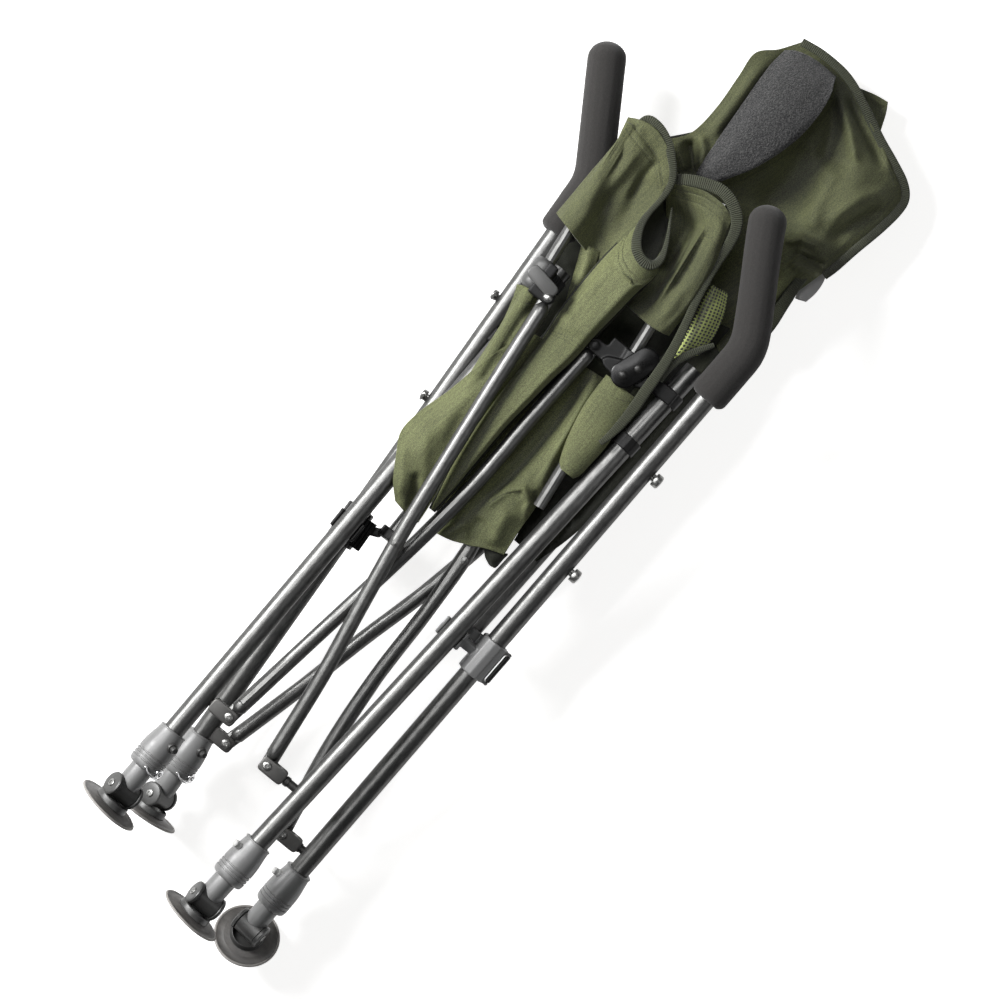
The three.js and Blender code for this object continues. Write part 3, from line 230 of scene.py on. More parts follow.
def make_plastics():
    # Handled plastics: fine spark texture, paler along the edges
    for name, body, worn, rough, gloss in (
        ("grey_plastic", linear(118, 118, 118), linear(144, 144, 143), 0.4, 0.5),
        ("link_plastic", linear(72, 72, 71), linear(98, 98, 97), 0.42, 0.4),
        ("dark_plastic", linear(12, 12, 12), linear(28, 28, 28), 0.5, 0.22),
        ("gloss_plastic", linear(7, 7, 7), linear(14, 14, 14), 0.3, 0.2),
        ("pale_plastic", linear(186, 186, 184), linear(210, 210, 208), 0.45, 0.5),
    ):
        f = Finish(name, roughness=rough, Specular_IOR_Level=gloss)
        base = f.mix(f.math("MULTIPLY", f.noise(45, 4), 0.3), body, worn)
        f.colour(f.mix(f.math("MULTIPLY", f.edges(0.62), 0.5), base, worn))
        f.rough(f.scaled(f.noise(200, 3), 0.2, rough - 0.1))
        f.bump(f.noise(1800, 2), GRAIN_DEPTH, 0.5)

    # Plain plastics, mottled
    for name, dark, pale, mottle, rough, gloss in (
        ("rim plastic", linear(140, 137, 133), linear(172, 168, 164), (120, 5), 0.5, 0.45),
        ("hub plastic", linear(46, 46, 45), linear(72, 72, 71), (90, 4), 0.4, 0.5),
        ("strap end", linear(176, 175, 175), linear(200, 199, 199), (90, 4), 0.5, 0.5),
    ):
        f = Finish(name, roughness=rough, Specular_IOR_Level=gloss)
        f.colour(f.mix(f.noise(*mottle), dark, pale))
        f.bump(f.noise(*FINE_GRAIN), GRAIN_DEPTH, 0.5)

    f = Finish("foot plastic", roughness=0.5, Specular_IOR_Level=0.45)
    scuffs = f.noise(120, 5, stretch=(1, 0.3, 1))
    f.colour(f.ramp(scuffs, (0.35, linear(68, 66, 64)), (0.7, linear(94, 91, 88))))
    f.bump(f.noise(*FINE_GRAIN), GRAIN_DEPTH, 0.5)

    # Closed-cell foam: pores, and a faint skin sheen
    f = Finish("grey foam", roughness=0.9, Sheen_Weight=0.15, Sheen_Roughness=0.6, Specular_IOR_Level=0.25)
    f.colour(f.mix(f.math("MULTIPLY", f.noise(500, 4), 0.8), linear(39, 37, 36), linear(58, 56, 54)))
    pores = f.node("ShaderNodeTexVoronoi", Vector=f.place(), Scale=900)
    f.bump(pores.outputs["Distance"], 0.00022, 0.7)
    f.bump(f.noise(35, 3), 0.0006, 0.4)


def fabric(name, lit, shade, sheen=0.16):
    """Woven polyester: two crossing thread directions, with slubs and a slight colour drift, and painted shade
    in the gaps between the threads.
    """
    f = Finish(name, roughness=0.74, Sheen_Weight=sheen, Sheen_Roughness=0.4, Specular_IOR_Level=0.35)
    warp, weft = f.waves("X", WEAVE), f.waves("Y", WEAVE * 1.15)
    speckle = f.ramp(f.noise(940, 1), (0.38, grey(0.66)), (0.62, grey(1.3)))
    slub = f.ramp(f.noise(420, 1, uv=True, stretch=(1, 0.06, 1)), (0.35, grey(0.88)), (0.65, grey(1.1)))
    base = f.ramp(f.noise(9, 2), (0.35, shade), (0.65, lit))
    threads = f.mix(1.0, f.mix(1.0, base, speckle, "MULTIPLY"), slub, "MULTIPLY")
    high = f.math("MAXIMUM", warp, weft)
    # the gaps between the threads are painted dark: painted shade
    painted_gap_shade = f.math("MULTIPLY", f.math("SUBTRACT", 1.0, high), 0.6)
    f.colour(f.mix(painted_gap_shade, threads, linear(20, 22, 13)))
    f.bump(f.noise(24, 2), 0.0007, 0.4)
    f.bump(high, 0.0003, 0.7)


def make_cloths():
    fabric("green cloth", linear(122, 127, 84), linear(104, 109, 70))
    # A darker copy of the green cloth, its darkness painted shade, for the sleeves, the back panel and its
    # corner
    fabric("deep cloth", linear(100, 104, 66), linear(78, 82, 50))
    # Lining: the same cloth near black, painted shade for the sheets under and inside the folds
    fabric("lining", linear(44, 47, 30), linear(26, 28, 18), sheen=0.05)

    # Webbing, ribbed along its edge, the grooves between the ribs painted darker as painted shade
    f = Finish("webbing", roughness=0.72, Sheen_Weight=0.15, Specular_IOR_Level=0.35)
    ribs = f.waves("X", 0.0021)
    tone = f.mix(f.noise(120, 3), linear(56, 60, 42), linear(80, 84, 62))
    f.colour(f.mix(f.math("MULTIPLY", f.math("SUBTRACT", 1.0, ribs), 0.6), tone, linear(28, 30, 20)))
    f.bump(ribs, 0.0007, 1.0)
    f.bump(f.waves("Y", 0.0011), 0.00012, 0.5)

    # Short pile: clumped tufts
    f = Finish("fleece", roughness=0.98, Sheen_Weight=0.3, Sheen_Roughness=0.5, Specular_IOR_Level=0.1)
    tuft = f.noise(620, 2, roughness=0.6)
    f.colour(f.ramp(tuft, (0.36, linear(48, 48, 49)), (0.52, linear(70, 70, 70)), (0.68, linear(96, 95, 94))))
    f.bump(tuft, 0.002, 1.0)

    f = Finish("thread", roughness=0.6)
    f.colour(f.mix(f.noise(2000, 2), linear(30, 33, 20), linear(62, 66, 44)))
    f.bump(f.noise(3000, 2), 0.00005, 0.6)

    # Open mesh: yellow-green threads round holes painted dark, as painted shade for the space seen through them
    f = Finish("mesh cloth", roughness=0.7, Sheen_Weight=0.2)
    holes = f.math("MULTIPLY", f.waves("X", 0.0042), f.waves("Y", 0.0036))
    solid = f.ramp(holes, (0.2, grey(1)), (0.34, grey(0)))
    f.colour(f.mix(solid, linear(26, 28, 12), linear(176, 188, 108)))
    f.bump(solid, 0.0006, 0.8)


make_steels()
make_plastics()
make_cloths()

# Carried-over nodes: material, soft edges and smooth barrels
SLOT_OF = {p["node"]: p["material_slot"] for p in frame["record"]["subparts"]}
# Nodes that look other than their slot does, by the start of their names
OWN_FINISH = {
    "sleeve_right": "grey_plastic", "corner_bracket": "dark_plastic", "rear_bracket": "dark_plastic",
    "lock_button_front_left": "hub_plastic", "lock_button_rear_left": "hub_plastic",
    "lock_button_front_right": "pale_plastic", "lock_button_rear_right": "pale_plastic",
}
SMOOTH_ANGLE = math.radians(40)
TUBE_ANGLE = math.radians(62)
EDGE_WIDTH = 0.0007
# Moulded pieces get the soft edges of their moulds: grid size in metres and smoothing rounds
MOULDED = {"corner": (0.001, 9), "sleeve": (0.001, 7), "rear": (0.0009, 5)}


def moulded(node, size, rounds):
    grid = node.modifiers.new("mould", "REMESH")
    grid.mode = "VOXEL"
    grid.voxel_size = size
    grid.use_smooth_shade = True
    soften = node.modifiers.new("soften", "SMOOTH")
    soften.factor = 0.5
    soften.iterations = rounds


for name, node in NODES.items():
    slot, kind = SLOT_OF[name], name.split("_")[0]
    finish = next((own for start, own in OWN_FINISH.items() if name.startswith(start)), slot)
    node.data.materials.clear()
    node.data.materials.append(MATERIALS[finish])
    for polygon in node.data.polygons:
        polygon.material_index = 0
        polygon.use_smooth = True
    node.data.set_sharp_from_angle(angle=TUBE_ANGLE if slot == "black_tube" else SMOOTH_ANGLE)
    if kind in MOULDED:
        moulded(node, *MOULDED[kind])
    elif slot in ("grey_plastic", "dark_plastic"):
        bevel = node.modifiers.new("edge", "BEVEL")
        bevel.width = EDGE_WIDTH
        bevel.segments = 2
        bevel.limit_method = "ANGLE"
        bevel.angle_limit = SMOOTH_ANGLE
        bevel.harden_normals = True


# Curves and surfaces through points
def through(points, count):
    """A smooth line of count points through the given ones, evenly spread between them."""
    p = np.asarray(points, float)
    p = np.concatenate([2 * p[:1] - p[1:2], p, 2 * p[-1:] - p[-2:-1]])
    t = np.linspace(0, len(p) - 3, count)
    i = np.minimum(t.astype(int), len(p) - 4)
    u = (t - i).reshape(-1, *([1] * (p.ndim - 1)))
    a, b, c, d = p[i], p[i + 1], p[i + 2], p[i + 3]
    return 0.5 * (2 * b + (c - a) * u + (2 * a - 5 * b + 4 * c - d) * u ** 2
                  + (3 * b - a - 3 * c + d) * u ** 3)


def surface(rows, along, over):
    """A grid (along + 1, over + 1, 3) through rows of control points."""
    grid = through(rows, along + 1)
    return np.swapaxes(through(np.swapaxes(grid, 0, 1), over + 1), 0, 1)


def run_of(line):
    """How far along a line each of its points lies."""
    return np.r_[0, np.cumsum(np.linalg.norm(np.diff(line, axis=0), axis=1))]


def even(points, count):
    """The line resampled to equal steps."""
    p = np.asarray(points, float)
    run = run_of(p)
    at = np.linspace(0, run[-1], count)
    return np.stack([np.interp(at, run, p[:, k]) for k in range(p.shape[1])], -1)


def unit(vectors):
    return vectors / np.linalg.norm(vectors, axis=-1, keepdims=True)


def eased(share):
    """0 to 1 with a soft start and end."""
    return share * share * (3 - 2 * share)


def bulged(value, power):
    """A sine or cosine drawn towards a square corner, its sign kept."""
    return math.copysign(abs(value) ** power, value)


def from_line(xy, line):
    """For points (..., 2): distance to a line through pixels, and how far along it, 0 to 1."""
    line = np.asarray(line, float)
    lengths = np.linalg.norm(np.diff(line, axis=0), axis=1)
    total, passed = lengths.sum(), 0
    best, share = np.full(xy.shape[:-1], 1e9), np.zeros(xy.shape[:-1])
    for a, b, length in zip(line[:-1], line[1:], lengths):
        t = np.clip(((xy - a) @ (b - a)) / max(length ** 2, 1e-9), 0, 1)
        d = np.linalg.norm(xy - (a + t[..., None] * (b - a)), axis=-1)
        near = d < best
        best = np.where(near, d, best)
        share = np.where(near, (passed + t * length) / total, share)
        passed += length
    return best, share


RIPPLES = 9
SHORT_RIPPLE, LONG_RIPPLE, RIPPLE_BEND = 9, 46, 31     # pixels
RIPPLE_TOTAL = 3.5                                     # brings the sum of the waves to about -1 to 1


def ripple(xy, seed):
    """Gentle unevenness of cloth, -1 to 1, from a few crossing waves of fixed phases."""
    rng = np.random.default_rng(seed)
    out = np.zeros(xy.shape[:-1])
    for _ in range(RIPPLES):
        angle, wave = rng.uniform(0, math.pi), rng.uniform(SHORT_RIPPLE, LONG_RIPPLE)
        phase, bend = rng.uniform(0, 2 * math.pi, 2)
        s = xy[..., 0] * math.cos(angle) + xy[..., 1] * math.sin(angle)
        q = -xy[..., 0] * math.sin(angle) + xy[..., 1] * math.cos(angle)
        sway = 1.3 * np.sin(q / RIPPLE_BEND + bend)
        out += np.sin(2 * math.pi * s / wave + phase + sway) * (wave / LONG_RIPPLE) ** 0.9
    return out / RIPPLE_TOTAL


def blur(values, rounds):
    for _ in range(rounds):
        for axis in (0, 1):
            before = np.take(values, np.r_[0, 0:values.shape[axis] - 1], axis)
            after = np.take(values, np.r_[1:values.shape[axis], values.shape[axis] - 1], axis)
            values = (before + 2 * values + after) / 4
    return values


def tree_of(names):
    """One search tree over several nodes or pieces."""
    vertices, faces = [], []
    for entry in names:
        o = NODES[entry] if isinstance(entry, str) else entry
        start = len(vertices)
        vertices += [v.co for v in o.data.vertices]
        faces += [[start + i for i in p.vertices] for p in o.data.polygons]
    return BVHTree.FromPolygons(vertices, faces)


ABOVE_ALL, BELOW_ALL = 0.5, -0.1     # heights that the rays start from
FREE = 9.0                           # a height that limits nothing
CLEARANCE = 0.0012


def met(points, names, start, way, free):
    """The height at which an upright ray through each place meets the nodes or pieces, or free."""
    heights = np.full(points.shape[:-1], free)
    if names:
        tree = tree_of(names)
        for index in np.ndindex(heights.shape):
            hit = tree.ray_cast(Vector((points[index][0], points[index][1], start)), Vector((0, 0, way)))
            if hit[0]:
                heights[index] = hit[0].z
    return heights


def keep_clear(points, over, under, gap=CLEARANCE):
    """Lifts a grid of places over some nodes and lowers it under others, and softens the change."""
    z = points[..., 2]
    low = met(points, over, ABOVE_ALL, -1, -FREE) + gap
    high = met(points, under, BELOW_ALL, 1, FREE) - gap
    shift = np.zeros(z.shape)
    for _ in range(14):
        wanted = np.minimum(np.maximum(z + shift, low), high) - z
        shift = np.where(np.abs(wanted) > np.abs(shift), wanted, shift)
        shift = np.maximum(blur(shift, 2), np.where(low > z, low - z, -FREE))
        shift = np.minimum(shift, np.where(high < z, high - z, FREE))
    out = points.copy()
    out[..., 2] = np.minimum(np.maximum(z + shift, low), high)
    return out


# Pieces
def new_piece(name, vertices, faces, material, uv=None):
    mesh = bpy.data.meshes.new(name)
    mesh.from_pydata([tuple(v) for v in np.asarray(vertices).tolist()], [], faces)
    if uv is not None:
        layer = mesh.uv_layers.new(name="flat")
        uv = np.asarray(uv)
        corners = np.empty(len(mesh.loops), int)
        mesh.loops.foreach_get("vertex_index", corners)
        layer.data.foreach_set("uv", uv[corners].ravel())
    mesh.polygons.foreach_set("use_smooth", [True] * len(mesh.polygons))
    mesh.materials.append(MATERIALS[material])
    mesh.update()
    piece = bpy.data.objects.new(name, mesh)
    SCENE.collection.objects.link(piece)
    return piece


def normals_of(grid):
    along = np.gradient(grid, axis=0)
    over = np.gradient(grid, axis=1)
    n = np.cross(over, along)
    n /= np.maximum(np.linalg.norm(n, axis=-1, keepdims=True), 1e-12)
    return np.where(n[..., 2:3] < 0, -n, n) if np.mean(n[..., 2]) < 0 else n


def flat_uv(grid):
    across = np.linalg.norm(np.diff(grid, axis=1), axis=-1).mean(0)
    along = np.linalg.norm(np.diff(grid, axis=0), axis=-1).mean(1)
    u, v = np.meshgrid(np.r_[0, np.cumsum(across)], np.r_[0, np.cumsum(along)])
    return np.stack([u, v], -1)


def thick_grid(top, bottom):
    """Vertices and faces of the closed solid between two grids."""
    rows, columns = top.shape[:2]
    count = rows * columns
    vertices = np.concatenate([top.reshape(-1, 3), bottom.reshape(-1, 3)])
    index = np.arange(count).reshape(rows, columns)
    a, b = index[:-1, :-1].ravel(), index[:-1, 1:].ravel()
    c, d = index[1:, 1:].ravel(), index[1:, :-1].ravel()
    faces = np.stack([a, b, c, d], -1).tolist()
    faces += np.stack([a + count, d + count, c + count, b + count], -1).tolist()
    edge = np.r_[index[0, :-1], index[:-1, -1], index[-1, :0:-1], index[:0:-1, 0]]
    following = np.roll(edge, -1)
    faces += np.stack([edge, edge + count, following + count, following], -1).tolist()
    return vertices, faces


def skin(rings, sides, capped=True, closed=False):
    """Faces over rings of vertices; capped closes both ends, closed joins the last ring to the first."""
    faces = []
    for i in range(rings - (0 if closed else 1)):
        near, far = i * sides, (i + 1) % rings * sides
        faces += [[near + j, near + (j + 1) % sides, far + (j + 1) % sides, far + j] for j in range(sides)]
    if capped:
        last = (rings - 1) * sides
        faces += [list(range(sides))[::-1], [last + j for j in range(sides)]]
    return faces


# Cloth
# Cloth between the two sides, which rides neither: where along y it leaves the right one and reaches the left
# one
SPREADS = {"roll": (-0.030, 0.034)}
FOLD_FADE = 0.22                     # share of a fold's length that its ends take to run out
SEAM_SINK, SEAM_PIXELS = 0.7, 1.1    # depth of a seam in millimetres and its width in pixels
LEAST_SHARE = 0.6                    # of its thickness that a sheet keeps where it is pressed
THREAD_SIDES, THREAD_RADIUS, THREAD_LENGTH, THREAD_PITCH = 5, 0.00032, 0.0024, 0.0034
THREAD_SWELL = (0.45, 1.0, 0.45)     # share of the radius at a thread's start, middle and end
THREAD_LIFT = 0.35                   # share of the radius that a thread stands up from the cloth
PAD_RIM = 0.0035                     # thickness of a pad at its edge
DRAWN_FROM = 0.3                     # share of a grip's length after which its end is drawn out
GRIP_SIZE, GRIP_ROUNDS = 0.0016, 14


def fasten(piece, body):
    """Rides a body, or, for cloth between the two sides, stays where it lies."""
    if body in SPREADS:
        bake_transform(piece)
    else:
        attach(piece, body)


def stitches(name, host, lines, body="right_side"):
    """Short threads lying on a piece, along lines of pixels."""
    tree = tree_of([host])
    eye = Vector((VIEW_X, VIEW_Y, VIEW_HEIGHT))
    vertices, faces = [], []
    for line in lines:
        hits = [tree.ray_cast(eye, (Vector(floor) - eye).normalized())
                for floor in spots(through([(*p, 0) for p in line], 300))]
        hits = np.array([(*hit[0], *hit[1]) for hit in hits if hit[0]])
        if len(hits) < 3:
            continue
        run = run_of(hits[:, :3])
        for start in np.arange(THREAD_PITCH / 2, run[-1] - THREAD_LENGTH, THREAD_PITCH):
            at = [np.array([np.interp(start + THREAD_LENGTH * s, run, hits[:, k]) for k in range(6)])
                  for s in (0, 0.5, 1)]
            up = at[1][3:]
            side = np.cross(unit(at[2][:3] - at[0][:3]), up)
            faces += [[len(vertices) + i for i in face] for face in skin(len(at), THREAD_SIDES)]
            for place, swell in zip(at, THREAD_SWELL):
                for turn in np.linspace(0, 2 * math.pi, THREAD_SIDES, endpoint=False):
                    vertices.append(place[:3] + THREAD_RADIUS * swell * (
                        side * math.cos(turn) + up * (math.sin(turn) + THREAD_LIFT)))
    piece = new_piece(name, vertices, faces, "thread")
    fasten(piece, body)
    return piece


def grid_piece(name, top, bottom, material):
    """The closed piece between two grids, with its flat layout as UV."""
    vertices, faces = thick_grid(top, bottom)
    uv = flat_uv(top).reshape(-1, 2)
    return new_piece(name, vertices, faces, material, np.concatenate([uv, uv]))


def patch(name, rows, steps, thickness, material, folds=(), seams=(), over=(), under=(), wave=0.5, seed=1,
          body="right_side", node=None):
    """A sheet of cloth through rows of (pixel across, pixel down, height in millimetres).

    folds are (line of pixels, width in pixels, height in millimetres), a ridge if positive.
    seams are lines that sink a little and are stitched. over and under are what the sheet keeps clear of.
    """
    grid = surface(rows, *steps)
    xy = grid[..., :2]
    rise = wave * ripple(xy, seed)
    for line, width, height in folds:
        distance, share = from_line(xy, line)
        fade = np.clip(np.minimum(share, 1 - share) / FOLD_FADE, 0, 1)
        rise += height * np.exp(-(distance / width) ** 2) * eased(fade)
    grid[..., 2] += rise
    for line in seams:
        distance, _ = from_line(xy, line)
        grid[..., 2] -= SEAM_SINK * np.exp(-(distance / SEAM_PIXELS) ** 2)
    places = spots(grid)
    top = keep_clear(places, over, under)
    if under:
        room = keep_clear(places, (), under)
        top[..., 2] = np.minimum(top[..., 2], room[..., 2])
    bottom = top - normals_of(top) * thickness
    if over:
        bottom = keep_clear(bottom, over, (), CLEARANCE / 3)
        top[..., 2] = np.maximum(top[..., 2], bottom[..., 2] + LEAST_SHARE * thickness)
    piece = grid_piece(name, top, bottom, material)
    fasten(piece, body)
    if node:
        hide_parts(node)
    if seams:
        stitches(name.replace("_cloth", "_stitches"), piece, seams, body)
    return piece


def strip(name, line, width, thickness, body="right_side", count=160):
    """Webbing along a line of (pixel across, pixel down, height in millimetres), crowned across."""
    path = even(through(spots(line), 400), count)
    widths = np.interp(np.linspace(0, 1, count), np.linspace(0, 1, len(width)), width)
    tangent = unit(np.gradient(path, axis=0))
    side = unit(np.cross(np.array([0, 0, 1.0]), tangent))
    lift = np.cross(tangent, side)
    section = [(bulged(math.cos(a), 0.6) / 2, bulged(math.sin(a), 0.8) / 2)
               for a in np.linspace(0, 2 * math.pi, 14, endpoint=False)]
    run = run_of(path)
    vertices, uv = [], []
    for i in range(count):
        for s, t in section:
            vertices.append(path[i] + side[i] * s * widths[i] + lift[i] * t * thickness)
            uv.append((run[i], s * widths[i]))
    piece = new_piece(name, vertices, skin(count, len(section)), "webbing", uv)
    fasten(piece, body)
    return piece


def pad(name, rows, steps, belly, material, wave, seed):
    """A closed pad on the right side: crowned on top, shallower below, from rows of pixels and heights."""
    grid = surface(rows, *steps)
    grid[..., 2] += wave * ripple(grid[..., :2], seed)
    top = spots(grid)
    u = np.linspace(0, 1, top.shape[1])
    v = np.linspace(0, 1, top.shape[0])
    puff = np.sqrt(np.clip(np.outer(np.sin(np.pi * v), np.sin(np.pi * u)), 0, 1))
    bottom = top.copy()
    bottom[..., 2] = top[..., 2] - PAD_RIM - belly * puff
    piece = grid_piece(name, top, bottom, material)
    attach(piece, "right_side")
    return piece


def remade(node_name, name, material, body, pull):
    """A node's shape in a fine even mesh, its far end drawn out by pull in the picture's plane."""
    source = NODES[node_name]
    piece = bpy.data.objects.new(name, source.data.copy())
    SCENE.collection.objects.link(piece)
    moulded(piece, GRIP_SIZE, GRIP_ROUNDS)
    bpy.context.view_layer.update()
    shape = piece.evaluated_get(bpy.context.evaluated_depsgraph_get())
    mesh = bpy.data.meshes.new_from_object(shape)
    piece.modifiers.clear()
    piece.data = mesh
    co = np.empty(3 * len(mesh.vertices))
    mesh.vertices.foreach_get("co", co)
    co = co.reshape(-1, 3)
    share = (co[:, 0] - co[:, 0].min()) / np.ptp(co[:, 0])
    share = eased(np.clip((share - DRAWN_FROM) / (1 - DRAWN_FROM), 0, 1))
    co[:, :2] += share[:, None] * (pull[0] * RIGHT + pull[1] * UP)
    mesh.vertices.foreach_set("co", co.ravel())
    mesh.polygons.foreach_set("use_smooth", [True] * len(mesh.polygons))
    mesh.materials.clear()
    mesh.materials.append(MATERIALS[material])
    mesh.update()
    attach(piece, body)
    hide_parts(node_name)
    return piece


# Foam hand grips
for side, pull in (("left", (0.0, 0.010)), ("right", (-0.008, 0.014))):
    remade(f"grip_rear_{side}", f"{side}_grip_foam", "grey_foam", f"rear_{side}_leg", pull)

# Left seat sleeve, over the left seat rail
LEFT_SLEEVE_PIXELS = [
    [(556, 213, 86), (562, 221, 104), (571, 232, 107), (580, 243, 96), (589, 254, 84), (597, 265, 80)],
    [(572, 194, 88), (580, 200, 105), (590, 209, 108), (598, 218, 94), (607, 230, 84), (618, 243, 93)],
    [(592, 170, 90), (600, 177, 106), (609, 186, 108), (616, 196, 93), (627, 208, 86), (640, 222, 97)],
    [(614, 145, 92), (620, 153, 107), (629, 162, 108), (636, 174, 95), (648, 188, 94), (658, 201, 101)],
    [(622, 130, 94), (630, 139, 106), (640, 148, 108), (649, 160, 102), (658, 174, 102), (664, 190, 102)],
    [(628, 117, 96), (641, 120, 104), (655, 128, 106), (666, 144, 106), (670, 163, 105), (668, 184, 104)],
]
LEFT_SLEEVE_FOLDS = [
    ([(626, 140), (612, 176), (596, 222)], 9, -8), ([(644, 160), (624, 200), (602, 244)], 8, 4),
    ([(660, 158), (644, 176), (628, 204)], 4.5, -4.5), ([(640, 128), (655, 150), (664, 178)], 5, -2.5),
]
LEFT_SLEEVE_SEAMS = [
    [(624, 128), (640, 147), (655, 166), (659, 190)], [(629, 122), (645, 141), (659, 161), (663, 186)],
]
left_sleeve = patch("left_sleeve_cloth", LEFT_SLEEVE_PIXELS, (120, 110), 0.0028, "deep_cloth",
                    LEFT_SLEEVE_FOLDS, LEFT_SLEEVE_SEAMS, over=["seat_rail_left"], wave=0.25, seed=11,
                    body="left_side", node="left_seat_sleeve")

# Left drape between the left rail and the crossing brace: an upper piece and the larger lower one
UPPER_DRAPE_PIXELS = [
    [(517, 284, 86), (524, 286, 92), (532, 289, 95), (545, 293, 90)],
    [(512, 300, 86), (520, 303, 92), (529, 306, 94), (541, 308, 90)],
    [(502, 322, 85), (511, 326, 92), (522, 330, 94), (535, 333, 89)],
    [(487, 346, 85), (497, 351, 91), (508, 355, 93), (520, 358, 88)],
    [(471, 371, 84), (481, 376, 88), (492, 380, 89), (504, 383, 85)],
]
LOWER_DRAPE_PIXELS = [
    [(530, 333, 93), (534, 334, 95), (538, 336, 96), (542, 338, 94)],
    [(500, 350, 90), (511, 356, 96), (520, 361, 97), (527, 365, 92)],
    [(472, 371, 89), (487, 379, 97), (498, 386, 97), (508, 392, 90)],
    [(448, 391, 87), (463, 403, 97), (477, 412, 96), (488, 420, 88)],
    [(420, 411, 86), (438, 424, 96), (455, 437, 94), (468, 448, 86)],
    [(401, 431, 86), (419, 447, 96), (438, 459, 92), (453, 469, 84)],
    [(396, 455, 90), (411, 468, 95), (426, 480, 90), (440, 489, 82)],
    [(393, 480, 92), (404, 490, 93), (416, 499, 86), (428, 508, 80)],
    [(395, 501, 86), (401, 508, 88), (408, 515, 83), (418, 523, 78)],
]
LOWER_DRAPE_FOLDS = [
    ([(416, 470), (416, 490), (410, 512)], 4.5, -5), ([(404, 440), (402, 470), (400, 500)], 6, 2.5),
    ([(520, 345), (480, 385), (430, 440)], 9, 2), ([(500, 362), (462, 412), (440, 460)], 7, -2),
    ([(430, 425), (424, 455), (428, 485)], 7, 2),
]
UPPER_DRAPE_FOLDS = [([(515, 304), (528, 309), (542, 311)], 4, -3), ([(528, 315), (505, 350)], 6, 2)]
UPPER_DRAPE_SEAM = [[(512, 296), (524, 303), (541, 303)]]
upper_drape = patch("upper_drape_cloth", UPPER_DRAPE_PIXELS, (90, 50), 0.0026, "green_cloth", UPPER_DRAPE_FOLDS,
                    UPPER_DRAPE_SEAM, over=["seat_rail_left"], under=["brace_front_right"], seed=4,
                    body="left_side")
lower_drape = patch("lower_drape_cloth", LOWER_DRAPE_PIXELS, (150, 60), 0.0028, "green_cloth",
                    LOWER_DRAPE_FOLDS, over=["seat_rail_left", "leg_front_left", upper_drape],
                    under=["brace_front_right"], wave=0.4, seed=5, body="left_side", node="left_seat_drape")

LEFT_FOLD_PIXELS = [
    [(582, 242, 84), (590, 246, 88), (600, 252, 84)], [(577, 262, 82), (585, 267, 88), (593, 272, 83)],
    [(571, 282, 80), (577, 286, 85), (583, 290, 80)], [(566, 300, 78), (569, 302, 80), (573, 304, 78)],
]
left_fold = patch("left_fold_cloth", LEFT_FOLD_PIXELS, (50, 30), 0.0024, "green_cloth", seed=6,
                  body="left_side")

# The rolled seat: a long cone of cloth with an open, webbing-bound mouth
ROLL_AXIS_PIXELS = [   # left edge, width in pixels, height of the edges, height of the crown
    (431, 509, 3, 91, 93), (444, 482, 12, 89, 97), (456, 458, 18, 89, 100), (470, 435, 22, 89, 103),
    (488, 408, 26, 89, 105), (505, 385, 30, 90, 107), (526, 358, 34, 90, 110), (545, 335, 38, 91, 112),
    (560, 312, 42, 92, 115), (575, 292, 45, 92, 118), (600, 262, 48, 94, 120),
]
ROLL_MOUTH_PIXELS = [
    [(618, 243, 97), (616, 258, 109), (622, 272, 117), (633, 281, 119), (646, 283, 114), (655, 276, 104)],
    [(640, 222, 101), (635, 236, 110), (637, 252, 116), (644, 263, 117), (654, 264, 112), (663, 252, 104)],
]
ROLL_SIDE = (0.776, 0.63)
ROLL_SHARES = (0, 0.14, 0.4, 0.66, 0.88, 1)
ROLL_SWELL = (0, 0.5, 0.78, 0.95, 0.96, 0.3)
ROLL_BELLY = -0.45                   # how far the underside bulges down, as a share of the crown's rise
ROLL_LINING_DROP = 3                 # millimetres that the lining hangs below that


def roll_rows(sign):
    rows = []
    for x, y, width, edge, crown in ROLL_AXIS_PIXELS:
        rows.append([(x + width * s * ROLL_SIDE[0], y + width * s * ROLL_SIDE[1],
                      edge + sign * (crown - edge) * swell) for s, swell in zip(ROLL_SHARES, ROLL_SWELL)])
    return rows


ROLL_FOLDS = [
    ([(470, 446), (520, 378), (580, 300), (606, 268)], 9, 1.6),
    ([(556, 330), (576, 338), (592, 352)], 3, -1.3),
    ([(566, 322), (584, 332), (600, 342)], 3.5, 1.0), ([(585, 300), (600, 280), (612, 262)], 6, 1.2),
]
ROLL_SEAMS = [
    [(632, 228), (624, 243), (623, 258), (631, 272), (644, 280), (655, 275)],
    [(629, 232), (620, 246), (619, 262), (628, 276), (643, 284), (655, 280)],
    [(549, 333), (566, 341), (582, 352), (592, 363)], [(551, 330), (568, 338), (584, 349), (594, 360)],
]
ROLL_INSIDE_PIXELS = [
    [(626, 232, 92), (634, 246, 80), (645, 256, 74), (655, 262, 78), (662, 256, 88)],
    [(638, 220, 92), (647, 228, 76), (655, 237, 70), (661, 242, 72), (665, 240, 80)],
    [(650, 206, 94), (656, 211, 76), (661, 217, 66), (665, 221, 66), (668, 222, 66)],
    [(662, 192, 96), (665, 196, 78), (667, 200, 64), (669, 203, 60), (671, 205, 58)],
]
ROLL_UNDER_MOUTH_PIXELS = [
    (618, 243, 94), (617, 258, 85), (622, 271, 81), (633, 279, 80), (645, 281, 82), (654, 275, 92),
]
roll_top = patch("roll_cloth", roll_rows(1) + ROLL_MOUTH_PIXELS, (260, 80), 0.0028, "green_cloth", ROLL_FOLDS,
                 ROLL_SEAMS, wave=0.22, seed=21, body="roll", node="seat_roll")
